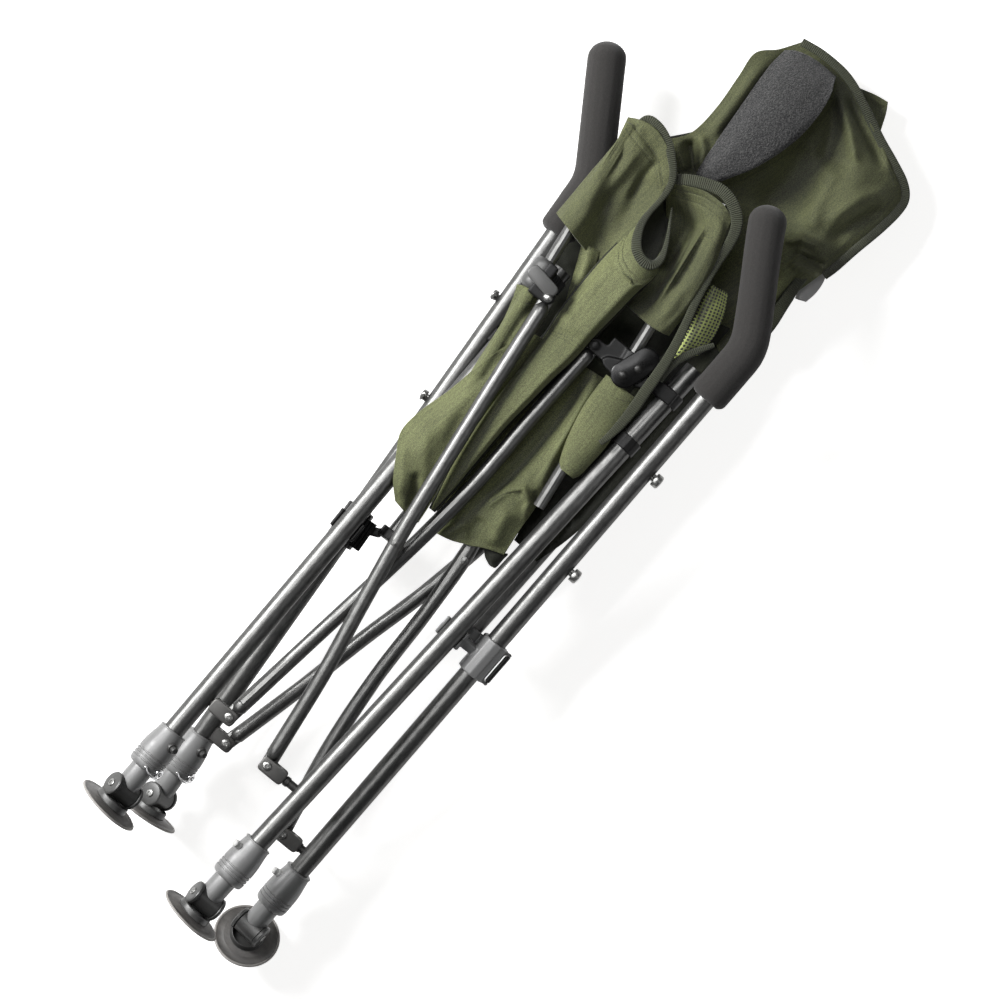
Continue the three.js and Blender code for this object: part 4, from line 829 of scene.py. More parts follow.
# The roll's underside and inside are in the lining, dark with painted shade
roll_under_rows = [[(x, y, z if s in (0, len(row) - 1) else z - ROLL_LINING_DROP)
                    for s, (x, y, z) in enumerate(row)] for row in roll_rows(ROLL_BELLY)]
roll_under = patch("roll_underside", roll_under_rows + [ROLL_UNDER_MOUTH_PIXELS], (160, 40), 0.0024, "lining",
                   wave=0.2, seed=22, body="roll")
roll_inside = patch("roll_inside", ROLL_INSIDE_PIXELS, (60, 40), 0.0024, "lining", wave=0.3, seed=23,
                    body="roll")
LOOP_PIXELS = [
    (637, 124, 99), (648, 119, 100), (659, 127, 102), (668, 143, 104), (672, 160, 105), (673, 177, 105),
    (668, 190, 105), (659, 202, 105), (649, 213, 107), (641, 225, 111), (637, 238, 115), (637, 250, 118),
    (643, 261, 118), (652, 265, 115), (660, 260, 111), (665, 249, 107), (668, 236, 103), (670, 222, 98),
    (672, 208, 94),
]
LOOP_WIDTHS = [0.005, 0.009, 0.010, 0.010, 0.009, 0.008, 0.007, 0.006, 0.006, 0.008, 0.010, 0.011, 0.011, 0.009,
               0.006, 0.004, 0.003, 0.002]
strip("mouth_webbing", LOOP_PIXELS, LOOP_WIDTHS, 0.0028, body="roll", count=260)

# Right seat sleeve, over the right seat rail, with a double-stitched hem
RIGHT_SLEEVE_PIXELS = [
    [(625, 303, 80), (636, 313, 95), (648, 324, 103), (660, 332, 104), (669, 336, 97)],
    [(648, 283, 72), (660, 292, 82), (673, 301, 103), (684, 308, 106), (691, 307, 98)],
    [(662, 262, 66), (675, 268, 74), (690, 277, 102), (700, 284, 107), (706, 286, 99)],
    [(668, 238, 64), (683, 246, 70), (700, 252, 101), (712, 259, 109), (719, 261, 100)],
    [(666, 212, 66), (688, 221, 70), (706, 228, 100), (719, 232, 109), (728, 238, 101)],
    [(666, 196, 86), (684, 200, 88), (703, 206, 99), (720, 216, 107), (729, 226, 104)],
    [(668, 183, 98), (686, 186, 101), (706, 192, 104), (724, 205, 107), (733, 220, 104)],
]
RIGHT_SLEEVE_FOLDS = [
    ([(706, 212), (688, 236), (666, 264), (640, 300)], 10, -8),
    ([(724, 224), (706, 250), (682, 284), (660, 322)], 10, 5),
    ([(714, 222), (706, 231), (692, 252)], 4, 3), ([(690, 290), (676, 312), (662, 328)], 5, -1.5),
]
RIGHT_SLEEVE_SEAMS = [
    [(670, 195), (700, 204), (722, 219)], [(672, 188), (702, 196), (725, 210)], [(704, 234), (714, 242),
     (722, 248)],
]
right_sleeve = patch("right_sleeve_cloth", RIGHT_SLEEVE_PIXELS, (150, 80), 0.0028, "deep_cloth",
                     RIGHT_SLEEVE_FOLDS, RIGHT_SLEEVE_SEAMS, over=["seat_rail_right"], wave=0.25, seed=31,
                     node="right_seat_sleeve")
BINDING_PIXELS = [
    (670, 179, 98), (688, 180, 101), (706, 184, 104), (722, 191, 107), (732, 203, 109), (737, 218, 109),
    (735, 232, 108), (728, 246, 106), (717, 263, 104), (706, 282, 104), (697, 299, 104), (688, 319, 104),
    (678, 340, 105), (667, 360, 107), (655, 378, 109), (645, 392, 109), (634, 408, 108), (620, 425, 106),
    (608, 437, 104), (600, 443, 102),
]
BINDING_WIDTHS = [0.010, 0.013, 0.013, 0.013, 0.012, 0.010, 0.009, 0.009, 0.009, 0.010, 0.011, 0.012, 0.012,
                  0.010, 0.006]
binding = strip("edge_webbing", BINDING_PIXELS, BINDING_WIDTHS, 0.0026, count=260)
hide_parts("seat_binding")

# Sleeve end round the right rail
POCKET_PIXELS = [   # middle of the tube, half width in pixels, height, half height in millimetres
    (566, 473, 9, 86, 8.6), (570, 467, 13, 86.4, 9.6), (579, 452, 17, 87, 10), (590, 435, 20, 87.6, 10),
    (601, 417, 21, 88.4, 9.8), (613, 400, 21, 89.2, 9.4), (622, 387, 20, 89.6, 8.8),
]
POCKET_STITCHES = [[(600, 386), (612, 396), (626, 401), (636, 400)], [(559, 462), (566, 470), (576, 470)]]
POCKET_RINGS, POCKET_SIDES = 90, 44
POCKET_WALL, POCKET_CREASE = 1.8, 0.25         # millimetres


def ring_tube(name, stations, across, material):
    """A soft tube on the right side through stations of pixels, hollow all through, creased outside."""
    line = through(stations, POCKET_RINGS)
    run = run_of(line[:, :2]) * METRES_PER_PIXEL
    vertices, uv = [], []
    for shrink, crease in ((0, POCKET_CREASE), (POCKET_WALL, 0)):
        for i, (x, y, half, z, high) in enumerate(line):
            for a in np.linspace(0, 2 * math.pi, POCKET_SIDES, endpoint=False):
                w = (half - shrink * PIXELS_PER_MILLIMETRE) * math.cos(a)
                h = (high - shrink) * math.sin(a) + crease * math.sin(3 * a + i / 9)
                vertices.append((x + across[0] * w, y + across[1] * w, z + h))
                uv.append((a * half * METRES_PER_PIXEL, run[i]))
    outside = skin(POCKET_RINGS, POCKET_SIDES, capped=False)
    count = POCKET_RINGS * POCKET_SIDES
    faces = outside + [[count + i for i in quad][::-1] for quad in outside]
    for outer, turn in ((0, 1), (count - POCKET_SIDES, -1)):
        for j in range(POCKET_SIDES):
            k = (j + 1) % POCKET_SIDES
            faces.append([outer + j, count + outer + j, count + outer + k, outer + k][::turn])
    places = spots(np.array(vertices))
    piece = new_piece(name, places, faces, material, uv)
    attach(piece, "right_side")
    return piece


pocket = ring_tube("rail_sleeve_cloth", POCKET_PIXELS, ROLL_SIDE, "green_cloth")
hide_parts("right_seat_pocket")
stitches("rail_sleeve_stitches", pocket, POCKET_STITCHES)

# Seat drape that hangs under the braces
SEAT_DRAPE_PIXELS = [
    [(430, 530, 66), (450, 540, 71), (469, 545, 73), (487, 549, 74), (504, 555, 70)],
    [(438, 508, 68), (462, 515, 74), (482, 520, 77), (502, 525, 78), (520, 530, 72)],
    [(452, 482, 68), (478, 490, 73), (500, 496, 79), (520, 500, 80), (538, 504, 73)],
    [(478, 455, 68), (500, 462, 71), (522, 470, 79), (538, 474, 80), (552, 477, 73)],
    [(506, 425, 68), (528, 433, 72), (545, 441, 79), (557, 446, 79), (568, 449, 73)],
    [(538, 392, 68), (556, 402, 73), (570, 408, 80), (580, 412, 79), (590, 415, 73)],
    [(572, 358, 68), (584, 366, 75), (594, 372, 81), (600, 376, 78), (609, 381, 73)],
]
SEAT_DRAPE_FOLDS = [
    ([(606, 366), (580, 412), (552, 462), (534, 500)], 7, 7),
    ([(592, 366), (556, 424), (520, 468), (476, 508)], 7, -7),
    ([(508, 452), (482, 488), (452, 516)], 7, 5), ([(600, 395), (572, 440), (545, 490)], 4, -4),
    ([(482, 512), (494, 499), (510, 489), (524, 489), (529, 503), (522, 526)], 4.5, 4.5),
    ([(534, 488), (538, 505), (526, 536)], 4, -5), ([(470, 520), (450, 532), (436, 534)], 5, 4),
    ([(510, 508), (498, 528), (492, 548)], 8, 4), ([(482, 516), (474, 530), (470, 546)], 6, -4),
]
SEAT_DRAPE_SEAM = [[(488, 504), (504, 494), (520, 492), (529, 501)]]
seat_drape = patch("seat_drape_cloth", SEAT_DRAPE_PIXELS, (190, 90), 0.0028, "green_cloth", SEAT_DRAPE_FOLDS,
                   SEAT_DRAPE_SEAM, over=["rear_bracket_right"],
                   under=["brace_front_left", "seat_rail_right", "brace_front_right", pocket], wave=0.45,
                   seed=41, node="seat_drape")
# The drape's tip is in the lining, dark with painted shade
DRAPE_TIP_PIXELS = [
    [(484, 548, 66), (492, 551, 69), (500, 554, 69), (508, 555, 66)],
    [(485, 557, 62), (491, 560, 66), (497, 561, 65), (503, 560, 62)],
    [(489, 565, 58), (492, 567, 60), (495, 568, 60), (498, 566, 58)],
]
drape_tip = patch("drape_tip_cloth", DRAPE_TIP_PIXELS, (30, 24), 0.0024, "lining", wave=0.2, seed=42)

# Mesh pocket beside the edge webbing
MESH_PIXELS = [
    [(712, 284, 92), (716, 287, 93), (722, 290, 91), (728, 294, 88)],
    [(700, 304, 92), (707, 307, 94), (716, 310, 92), (724, 314, 87)],
    [(690, 326, 92), (697, 329, 95), (706, 332, 92), (715, 335, 86)],
    [(678, 346, 93), (685, 349, 95), (693, 351, 92), (702, 352, 86)],
    [(662, 366, 94), (670, 364, 95), (682, 360, 94), (697, 354, 90)],
]
MESH_FOLDS = [([(712, 300), (700, 330), (676, 360)], 7, 1.5)]
mesh_cloth = patch("mesh_pocket_cloth", MESH_PIXELS, (90, 34), 0.0014, "mesh_cloth", MESH_FOLDS,
                   over=["leg_front_right"], wave=0.4, seed=51, node="mesh_pocket")
MESH_BAND_PIXELS = [
    (714, 345, 92), (700, 350, 96), (688, 355, 99), (677, 361, 102), (667, 371, 104), (660, 381, 105),
]
strip("mesh_band", MESH_BAND_PIXELS, [0.005, 0.008, 0.008, 0.006], 0.0026, count=90)

# A fold of lining beside and below the right tubes, its dark colour painted shade
SHADE_PIXELS = [
    [(694, 312, 54), (716, 322, 54), (742, 334, 52)], [(682, 330, 52), (702, 339, 52), (724, 349, 50)],
    [(655, 364, 52), (678, 378, 52), (706, 394, 48)], [(622, 403, 50), (647, 417, 50), (676, 433, 46)],
    [(590, 440, 50), (614, 454, 50), (641, 470, 46)], [(558, 478, 48), (580, 491, 48), (604, 507, 44)],
    [(532, 512, 46), (548, 523, 46), (568, 539, 42)], [(514, 540, 44), (523, 548, 44), (536, 561, 42)],
]
SHADE_FOLDS = [([(680, 350), (620, 425), (560, 500)], 5, 3)]
shade_cloth = patch("side_fold_cloth", SHADE_PIXELS, (120, 30), 0.0024, "lining", SHADE_FOLDS,
                    over=["back_upright_right"],
                    under=["leg_front_right", "leg_rear_right", "seat_rail_right", "rear_bracket_right"],
                    wave=0.6, seed=52)

# Padded fleece head rest
HEADREST_PIXELS = [
    [(694, 177, 80), (700, 178, 83), (707, 180, 84), (714, 181, 84), (722, 181, 82)],
    [(704, 160, 76), (717, 163, 88), (731, 167, 90), (747, 170, 89), (760, 165, 85)],
    [(720, 136, 72), (737, 142, 86), (756, 147, 89), (776, 150, 88), (794, 142, 82)],
    [(738, 110, 67), (756, 117, 82), (776, 123, 86), (798, 127, 84), (816, 119, 77)],
    [(756, 84, 61), (774, 92, 75), (793, 99, 79), (813, 103, 76), (830, 97, 70)],
    [(771, 64, 55), (787, 71, 66), (804, 77, 68), (820, 81, 66), (834, 84, 61)],
    [(785, 50, 48), (797, 51, 53), (811, 57, 55), (824, 66, 53), (836, 77, 50)],
]
headrest = pad("headrest_fleece", HEADREST_PIXELS, (150, 90), 0.010, "fleece", wave=0.5, seed=61)
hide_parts("headrest")

# Back panel, bunched flat at the head end
BACK_PIXELS = [
    [(634, 150, 56), (650, 190, 54), (668, 228, 54), (684, 262, 54), (696, 296, 52), (708, 328, 50),
     (722, 362, 46)],
    [(666, 140, 64), (688, 176, 66), (710, 204, 67), (733, 234, 52), (748, 266, 52), (760, 302, 58),
     (756, 340, 52)],
    [(692, 132, 66), (712, 160, 68), (735, 188, 58), (760, 218, 42), (778, 248, 50), (790, 275, 54),
     (786, 302, 48)],
    [(716, 108, 62), (742, 135, 66), (768, 165, 60), (792, 196, 42), (808, 225, 56), (818, 250, 60),
     (822, 274, 48)],
    [(738, 77, 58), (770, 103, 62), (797, 134, 56), (822, 168, 46), (838, 200, 62), (846, 228, 56),
     (852, 252, 44)],
    [(755, 53, 52), (790, 82, 54), (817, 112, 48), (842, 148, 50), (860, 180, 60), (872, 205, 50),
     (880, 228, 38)],
    [(779, 49, 46), (806, 66, 48), (830, 92, 42), (856, 126, 50), (876, 158, 48), (890, 182, 44),
     (900, 204, 32)],
    [(802, 42, 36), (820, 54, 40), (842, 76, 38), (862, 105, 40), (882, 140, 38), (896, 168, 36),
     (906, 196, 28)],
]
BACK_FOLDS = [
    ([(838, 86), (850, 130), (858, 170)], 6, 7), ([(832, 92), (832, 130), (822, 170)], 8, -7),
    ([(846, 92), (868, 138), (886, 172)], 6, -7), ([(852, 88), (880, 140), (894, 178)], 4, 4),
    ([(894, 188), (860, 200), (824, 228)], 9, 6), ([(886, 206), (850, 224), (826, 246)], 8, -7),
    ([(806, 140), (786, 178), (756, 208)], 12, -10), ([(838, 160), (816, 205), (808, 238)], 10, 7),
    ([(782, 243), (802, 238), (824, 250)], 4.5, 9), ([(792, 251), (810, 259), (826, 266)], 4, -9),
    ([(788, 262), (806, 268), (822, 274)], 4, 8), ([(800, 272), (780, 292), (764, 322)], 6, -5),
    ([(688, 138), (692, 156), (694, 176)], 6, -12), ([(700, 132), (704, 150), (698, 170)], 5, 5),
    ([(676, 140), (680, 156), (688, 172)], 5, 4), ([(770, 62), (740, 96), (706, 140)], 8, 6),
    ([(778, 66), (748, 104), (716, 144)], 5, -6), ([(760, 250), (770, 275), (764, 310)], 8, -5),
]
BACK_STITCHES = [
    [(724, 186), (748, 177), (777, 161), (800, 145), (818, 126), (832, 104), (838, 88)],
    [(808, 51), (824, 64), (842, 82), (856, 104), (869, 127), (881, 152), (892, 178), (894, 192)],
    [(893, 198), (878, 214), (856, 234), (836, 252), (824, 264)],
]
back_panel = patch("back_panel_cloth", BACK_PIXELS, (200, 200), 0.006, "deep_cloth", BACK_FOLDS,
                   over=["back_upright_right"], under=[headrest], wave=0.7, seed=71, node="back_panel")
stitches("back_panel_stitches", back_panel, BACK_STITCHES)
BACK_BINDING_PIXELS = [
    (802, 42, 41), (822, 54, 44), (842, 71, 43), (854, 87, 42), (866, 110, 43), (880, 139, 42),
    (893, 162, 40),
    (903, 182, 34), (905, 198, 31), (898, 211, 34), (880, 229, 41), (855, 250, 47), (836, 267, 50),
    (824, 276, 51),
]
strip("back_edge_webbing", BACK_BINDING_PIXELS, [0.009, 0.010, 0.010, 0.009], 0.0034, count=260)
LOWER_BINDING_PIXELS = [(804, 276, 50), (793, 289, 50), (782, 305, 50), (771, 322, 51), (757, 340, 53)]
strip("lower_edge_webbing", LOWER_BINDING_PIXELS, [0.010, 0.014, 0.015, 0.015], 0.0034, count=120)
CORNER_PIXELS = [
    [(824, 84, 30), (838, 84, 31), (850, 84, 31), (862, 89, 30), (876, 95, 28), (888, 102, 25)],
    [(828, 106, 30), (842, 103, 31), (856, 101, 30), (867, 104, 28), (877, 108, 26), (886, 114, 23)],
    [(838, 132, 30), (850, 128, 31), (862, 124, 29), (870, 124, 27), (876, 127, 25), (881, 130, 22)],
]
CORNER_FOLDS = [([(860, 96), (874, 106), (886, 112)], 4, -3)]
corner = patch("corner_cloth", CORNER_PIXELS, (40, 60), 0.004, "deep_cloth", CORNER_FOLDS, under=[back_panel],
               wave=0.4, seed=72)

# Folds of the seat under the bundle, in the lining, dark with painted shade
UNDER_PIXELS = [
    [(520, 536, 7), (500, 505, 12), (488, 470, 12), (478, 430, 7)],
    [(560, 490, 7), (548, 462, 14), (534, 425, 14), (516, 380, 8)],
    [(612, 432, 7), (598, 395, 16), (566, 335, 14), (526, 270, 10)],
    [(668, 372, 7), (650, 330, 13), (612, 270, 12), (572, 205, 10)],
    [(712, 320, 7), (692, 275, 12), (664, 215, 10), (628, 150, 9)],
    [(752, 300, 12), (735, 235, 12), (722, 180, 10), (700, 130, 8)],
]
UNDER_FOLDS = [
    ([(560, 470), (620, 390), (690, 300)], 8, 5), ([(520, 440), (590, 350), (660, 240)], 9, 4),
    ([(540, 480), (600, 410), (670, 320)], 6, -4), ([(500, 450), (570, 360), (640, 250)], 7, -3),
]
underfold = patch("underfold_cloth", UNDER_PIXELS, (200, 120), 0.005, "lining", UNDER_FOLDS, under=[back_panel],
                  wave=1.0, seed=81, node="seat_underfold")

# Strap end
STRAP_PIXELS = [
    [(800, 254, 34), (812, 254, 34), (828, 254, 34)],
    [(801, 264, 35), (812, 265, 35), (828, 266, 35)],
    [(801, 277, 36), (811, 279, 37), (824, 281, 36)],
    [(799, 288, 36), (807, 290, 37), (816, 293, 36)],
    [(795, 298, 36), (800, 300, 37), (806, 302, 36)],
]
patch("strap_end_cloth", STRAP_PIXELS, (48, 24), 0.0036, "strap_end", under=[back_panel], wave=0.1, seed=91,
      node="strap_end")


# Hard pieces
def hard_piece(name, vertices, faces, material, body, sharp=True):
    """A piece that rides a body, its edges sharp by angle unless sharp is False."""
    piece = new_piece(name, vertices, faces, material)
    if sharp:
        piece.data.set_sharp_from_angle(angle=SMOOTH_ANGLE)
    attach(piece, body)
    return piece


def lathe(name, start, way, profile, material, body, sides=64, ring=False):
    """A body of revolution from a place along a direction, from distances and radii; a ring is hollow."""
    start, way = np.asarray(start, float), unit(np.asarray(way, float))
    side = unit(np.cross(way, [0, 0, 1.0] if abs(way[2]) < 0.9 else [1.0, 0, 0]))
    lift = np.cross(side, way)
    turns = np.linspace(0, 2 * math.pi, sides, endpoint=False)
    vertices = [start + (way * far + radius * (side * math.cos(a) + lift * math.sin(a))) / 1000
                for far, radius in profile for a in turns]
    faces = skin(len(profile), sides, capped=not ring, closed=ring)
    return hard_piece(name, vertices, faces, material, body)


def spun(name, start, end, profile, material, body, slot=None):
    """A body of revolution between two places, from shares along it and radii."""
    length = 1000 * float(np.linalg.norm(np.subtract(end, start)))
    return lathe(name, start, np.subtract(end, start), [(share * length, radius) for share, radius in profile],
                 material, body)


PLATE_EDGE = ((0.9, 0), (0.96, 0.0003), (1.0, 0.0009))      # share of the outline, and depth from the face
PLATE_CROWN = (0.7, 0.45, 0.2)                              # shares of the outline that a swell rises by


def plate(name, start, end, half, low, high, material, body, swell=0.0, slot=None, square=1.0):
    """A flat link between two places, from half its width and its heights; square under 1 fills its ends."""
    (x0, y0), (x1, y1) = start[:2], end[:2]
    turn = math.atan2(y1 - y0, x1 - x0)
    along = np.array([math.cos(turn), math.sin(turn)])
    across = np.array([-math.sin(turn), math.cos(turn)])
    outline = []
    for centre, first in ((np.array([x1, y1]), -0.5), (np.array([x0, y0]), 0.5)):
        for a in np.linspace(first, first + 1, 17) * math.pi:
            c, s = bulged(math.cos(a), square), bulged(math.sin(a), square)
            outline.append(centre + half * (c * along + s * across))
    outline = np.array(outline)
    middle = outline.mean(0)
    rings = [(share, low + depth) for share, depth in PLATE_EDGE]
    rings += [(share, high - depth) for share, depth in PLATE_EDGE[::-1]]
    if swell:
        rings += [(share, high + swell * (1 - (share / 0.9) ** 2)) for share in PLATE_CROWN]
    vertices = [(*(middle + (p - middle) * share), z) for share, z in rings for p in outline]
    return hard_piece(name, vertices, skin(len(rings), len(outline)), material, body)


def wire(name, points, radius, material, body, sides=12):
    """A round wire on a smooth line through places, a little thinner at its ends."""
    path = even(through(points, 120), 80)
    tangent = unit(np.gradient(path, axis=0))
    side = unit(np.cross(tangent, [0.3, 0.2, 1.0]))
    lift = np.cross(side, tangent)
    thick = [radius * min(1, 0.55 + min(i, len(path) - 1 - i)) for i in range(len(path))]
    vertices = [path[i] + thick[i] * (side[i] * math.cos(a) + lift[i] * math.sin(a))
                for i in range(len(path)) for a in np.linspace(0, 2 * math.pi, sides, endpoint=False)]
    return hard_piece(name, vertices, skin(len(path), sides), material, body, sharp=False)


# Left barrel, link and rivet, and the oval cover on the right with two rivets
ROUND_SHARES = [
    (0, 8.5), (0.03, 11.2), (0.1, 12.8), (0.2, 13.4), (0.8, 13.4), (0.9, 12.8), (0.97, 11.2), (1, 8.5),
]
HEAD_SHARES = [(0, 4.6), (0.3, 4.6), (0.45, 4.0), (0.7, 3.4), (0.9, 2.0), (1, 0.6)]
BARREL_PIXELS = [529, 289, 96], [549, 261, 97]
LINK_PIXELS = [534, 282, 0], [548, 298, 0]
LEFT_RIVET_PIXELS = [548, 298, 121.2], [548, 298, 124]
COVER_PIXELS = [620, 379, 0], [641, 366, 0]
COVER_RIVET_PIXELS = (623, 375), (638, 369)
spun("left_barrel", *spots(BARREL_PIXELS), ROUND_SHARES, "link_plastic", "left_side", slot="grey_plastic")
plate("left_link", *spots(LINK_PIXELS), 0.0076, 0.1145, 0.1205, "link_plastic", "left_side",
      slot="grey_plastic", square=0.7)
spun("left_rivet", *spots(LEFT_RIVET_PIXELS), HEAD_SHARES, "bright_steel", "left_side")
plate("right_cover", *spots(COVER_PIXELS), 0.0142, 0.098, 0.106, "gloss_plastic", "right_side", swell=0.003,
      slot="dark_plastic")
for number, (px, py) in enumerate(COVER_RIVET_PIXELS):
    spun(f"right_rivet_{number}", *spots([[px, py, 107.4], [px, py, 110.2]]), HEAD_SHARES, "dark_steel",
         "right_side", slot="bright_steel")

# Legs
JOINTS = {joint["name"]: joint for joint in frame["record"]["behaviour"]["joints"]}
SOLES = {mount["name"]: mount for mount in frame["record"]["mounts"]}
SHEATH_BORE, SHEATH_RADIUS = 10.6, 11.15
GRIP_COVERS = 15                      # tube under the foam
RIM_RADIUS = 0.0334
COLLAR_GROOVES = (38.4, 42.6, 46.8)   # where each groove of a collar starts
GROOVE = ((0, 18.6), (0.5, 17.5), (1.3, 17.5), (1.8, 18.6))
COLLAR_PROFILE = [
    (58, 11.3), (57, 9.5), (31, 9.5), (31, 15.4), (31.5, 16.6), (32.8, 17.7), (35, 18.3), (37.5, 18.6),
    *((start + far, radius) for start in COLLAR_GROOVES for far, radius in GROOVE),
    (52, 18.6), (57, 18.3), (62, 17.7), (67, 16.8), (72, 15.9), (77, 15.2), (79, 15.1), (79.5, 15.6),
    (80.5, 15.6), (81, 15.0), (81, 11.3),
]
SOCKET_PROFILE = [
    (4, 6), (6, 11.5), (10, 12.4), (12, 12.8), (41, 12.6), (42.6, 12.2), (43.4, 11.4), (43.6, 9.3), (46, 9.3),
]
BARREL_PROFILE = [(-12.9, 8), (-12.9, 11.4), (-12.3, 12.1), (12.3, 12.1), (12.9, 11.4), (12.9, 8)]
EAR_PROFILE = [(13.2, 4), (13.2, 12.6), (13.8, 13.2), (16.4, 13.2), (17.2, 12.5), (17.6, 11.2), (17.6, 4)]
SCREW_PLACE = 0.0175                  # from the middle of the foot pin
SCREW_PROFILE = [(0, 4.2), (0.8, 4.2), (1.2, 3.6), (1.2, 2.2), (0.5, 1.9), (0.5, 0.3)]
FOOT_PROFILE = [
    (0.9, 0.5), (0.9, 12), (0.2, 12.6), (0, 14), (0, 33.5), (0.4, 35.2), (1.1, 36), (1.9, 36), (2.6, 35.5),
    (2.9, 34.6), (2.5, 33.6), (2.4, 32.8), (3.1, 26.5), (3.6, 26), (3.7, 25), (3.9, 24.4), (5.2, 18.6),
    (5.8, 17.2), (5.8, 0.5),
]
HUB_PROFILE = [
    (4.5, 8), (4.5, 18.8), (6, 19.4), (7, 18.7), (11.2, 18.4), (12, 18.1), (12.3, 17.6), (12.1, 17),
    (6.5, 16.9), (6.4, 0.5),
]
BOSS_PROFILE = [(12, 6), (17.4, 6), (18.6, 5.8), (19.4, 5.2), (19.6, 4.6), (18.4, 4.4), (18.4, 0.5)]
RIGHT_BOSS_SHARE = 0.72               # the bosses on the right legs are narrower
CLIP_REACH, CLIP_WIRE = 19.4, 0.0016
# The clip's wire: distances up the leg and degrees round it
CLIP_STEPS = (
    (36, 5), (32, 20), (30.5, 40), (31, 60), (34, 76), (39, 80), (41, 66), (38, 52), (35, 58), (33, 72),
    (32, 95),
)
CHEEK_REACH, CHEEK_HALF, CHEEK_INSIDE, CHEEK_OUTSIDE = 0.015, 0.0082, 0.0042, 0.0072
WEB_SETBACK, WEB_LENGTH, WEB_HALF, WEB_RISE = 0.002, 0.007, 0.0045, 0.007
STUD_SIDES = 32
RIVET_PLACE = 0.0071                  # from the middle of the brace's end
RIVET_PROFILE = [(0, 5), (0.9, 5), (1.6, 4.3), (2.1, 2.8), (2.2, 2.2), (1.5, 1.8), (1.5, 0.3)]
BRACE_RADIUS, BRACE_SKIN = 0.008, 0.0001
ROUND_ENOUGH = 0.0012                 # a ring of a brace that is this near its full height isn't flattened
RING_GAP = 0.009                      # rings of a brace stand further apart than this


class Leg:
    """One leg's foot pin and the way from it up the tube, on which everything turned sits."""

    def __init__(self, name):
        self.name = name
        self.pin = np.array(JOINTS[f"{name}_foot_tilt"]["pos_m"])
        self.pin_way = np.array(JOINTS[f"{name}_foot_tilt"]["axis"])
        self.way = -np.array(JOINTS[f"{name}_lower_leg_slide"]["axis"])
        self.sole = np.array(SOLES[f"sole_{name}"]["pos_m"])
        self.sole_way = -np.array(SOLES[f"sole_{name}"]["axis"])

    def reach(self, node):
        """The lowest and highest distance of a node's vertices along the leg, in millimetres."""
        places = np.array([v.co for v in NODES[f"{node}_{self.name}"].data.vertices])
        far = (places - self.pin) @ self.way * 1000
        return far.min(), far.max()

    def turned(self, tag, start, way, profile, material, part, sides=64, slot=None, ring=False):
        """A turned piece that rides one of the leg's bodies."""
        body = f"{self.name}_{part}"
        return lathe(f"{self.name}_{tag}", start, way, profile, material, body, sides, ring)


def cover_tube(leg):
    """A round sheath over the faceted tube, at the rear to just inside the foam."""
    start, end = leg.reach("leg")
    if leg.name.startswith("rear"):
        end = leg.reach("grip")[0] + GRIP_COVERS
    sheath = [(end, SHEATH_BORE), (start, SHEATH_BORE), (start, SHEATH_RADIUS)]
    sheath += [(far, SHEATH_RADIUS) for far in np.linspace(start + 30, end - 30, 12)] + [(end, SHEATH_RADIUS)]
    leg.turned("tube_finish", leg.pin, leg.way, sheath, "black_tube", "leg", ring=True)


def dress_socket(leg):
    """The socket on the lower leg, and the barrel round its pin."""
    socket = leg.turned("socket", leg.pin, leg.way, SOCKET_PROFILE, "grey_plastic", "lower_leg")
    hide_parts(f"knuckle_{leg.name}")
    leg.turned("pin_barrel", leg.pin, leg.pin_way, BARREL_PROFILE, "hub_plastic", "lower_leg",
               slot="grey_plastic")


def dress_foot(leg):
    """The disc with its paler rim, the hub, and an ear with a screw on each side."""
    disc = leg.turned("foot_disc", leg.sole, leg.sole_way, FOOT_PROFILE, "foot_plastic", "foot", 96,
                      "dark_plastic")
    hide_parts(f"foot_{leg.name}")
    disc.data.materials.append(MATERIALS["rim_plastic"])
    for polygon in disc.data.polygons:
        spoke = np.array(polygon.center) - leg.sole
        spoke -= (spoke @ leg.sole_way) * leg.sole_way
        polygon.material_index = int(np.linalg.norm(spoke) > RIM_RADIUS)
    leg.turned("foot_hub", leg.sole, leg.sole_way, HUB_PROFILE, "hub_plastic", "foot", slot="dark_plastic")
    for side, tag in ((1, "a"), (-1, "b")):
        out = side * leg.pin_way
        leg.turned(f"pin_ear_{tag}", leg.pin, out, EAR_PROFILE, "hub_plastic", "foot", 48, "dark_plastic")
        leg.turned(f"pin_screw_{tag}", leg.pin + out * SCREW_PLACE, out, SCREW_PROFILE, "bright_steel", "foot",
                   24)


def dress_collar(leg):
    """The collar, and the boss round its locking button, which points where the button does."""
    shell = leg.turned("collar_shell", leg.pin, leg.way, COLLAR_PROFILE, "grey_plastic", "leg", 80, ring=True)
    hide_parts(f"collar_{leg.name}")
    out = -np.array(JOINTS[f"{leg.name}_lock_press"]["axis"])
    low, high = leg.reach("lock_button")
    seat = leg.pin + leg.way * (low + high) / 2000
    right = leg.name.endswith("right")
    profile = [(far, (RIGHT_BOSS_SHARE if right else 1) * radius) for far, radius in BOSS_PROFILE]
    leg.turned("button_boss", seat, out, profile, "pale_plastic" if right else "hub_plastic", "leg", 32,
               "grey_plastic")


def bend_clip(leg):
    """A bright sprung wire round the collar."""
    level = unit(np.cross(leg.way, [0, 0, 1.0]))
    level = level if level[1] < 0 else -level
    lift = np.cross(leg.way, level)
    lift = lift if lift[2] > 0 else -lift
    path = [leg.pin + (leg.way * far + CLIP_REACH * (lift * math.cos(a) + level * math.sin(a))) / 1000
            for far, a in ((far, math.radians(degrees)) for far, degrees in CLIP_STEPS)]
    wire(f"{leg.name}_clip_wire", path, CLIP_WIRE, "chrome", f"{leg.name}_leg")


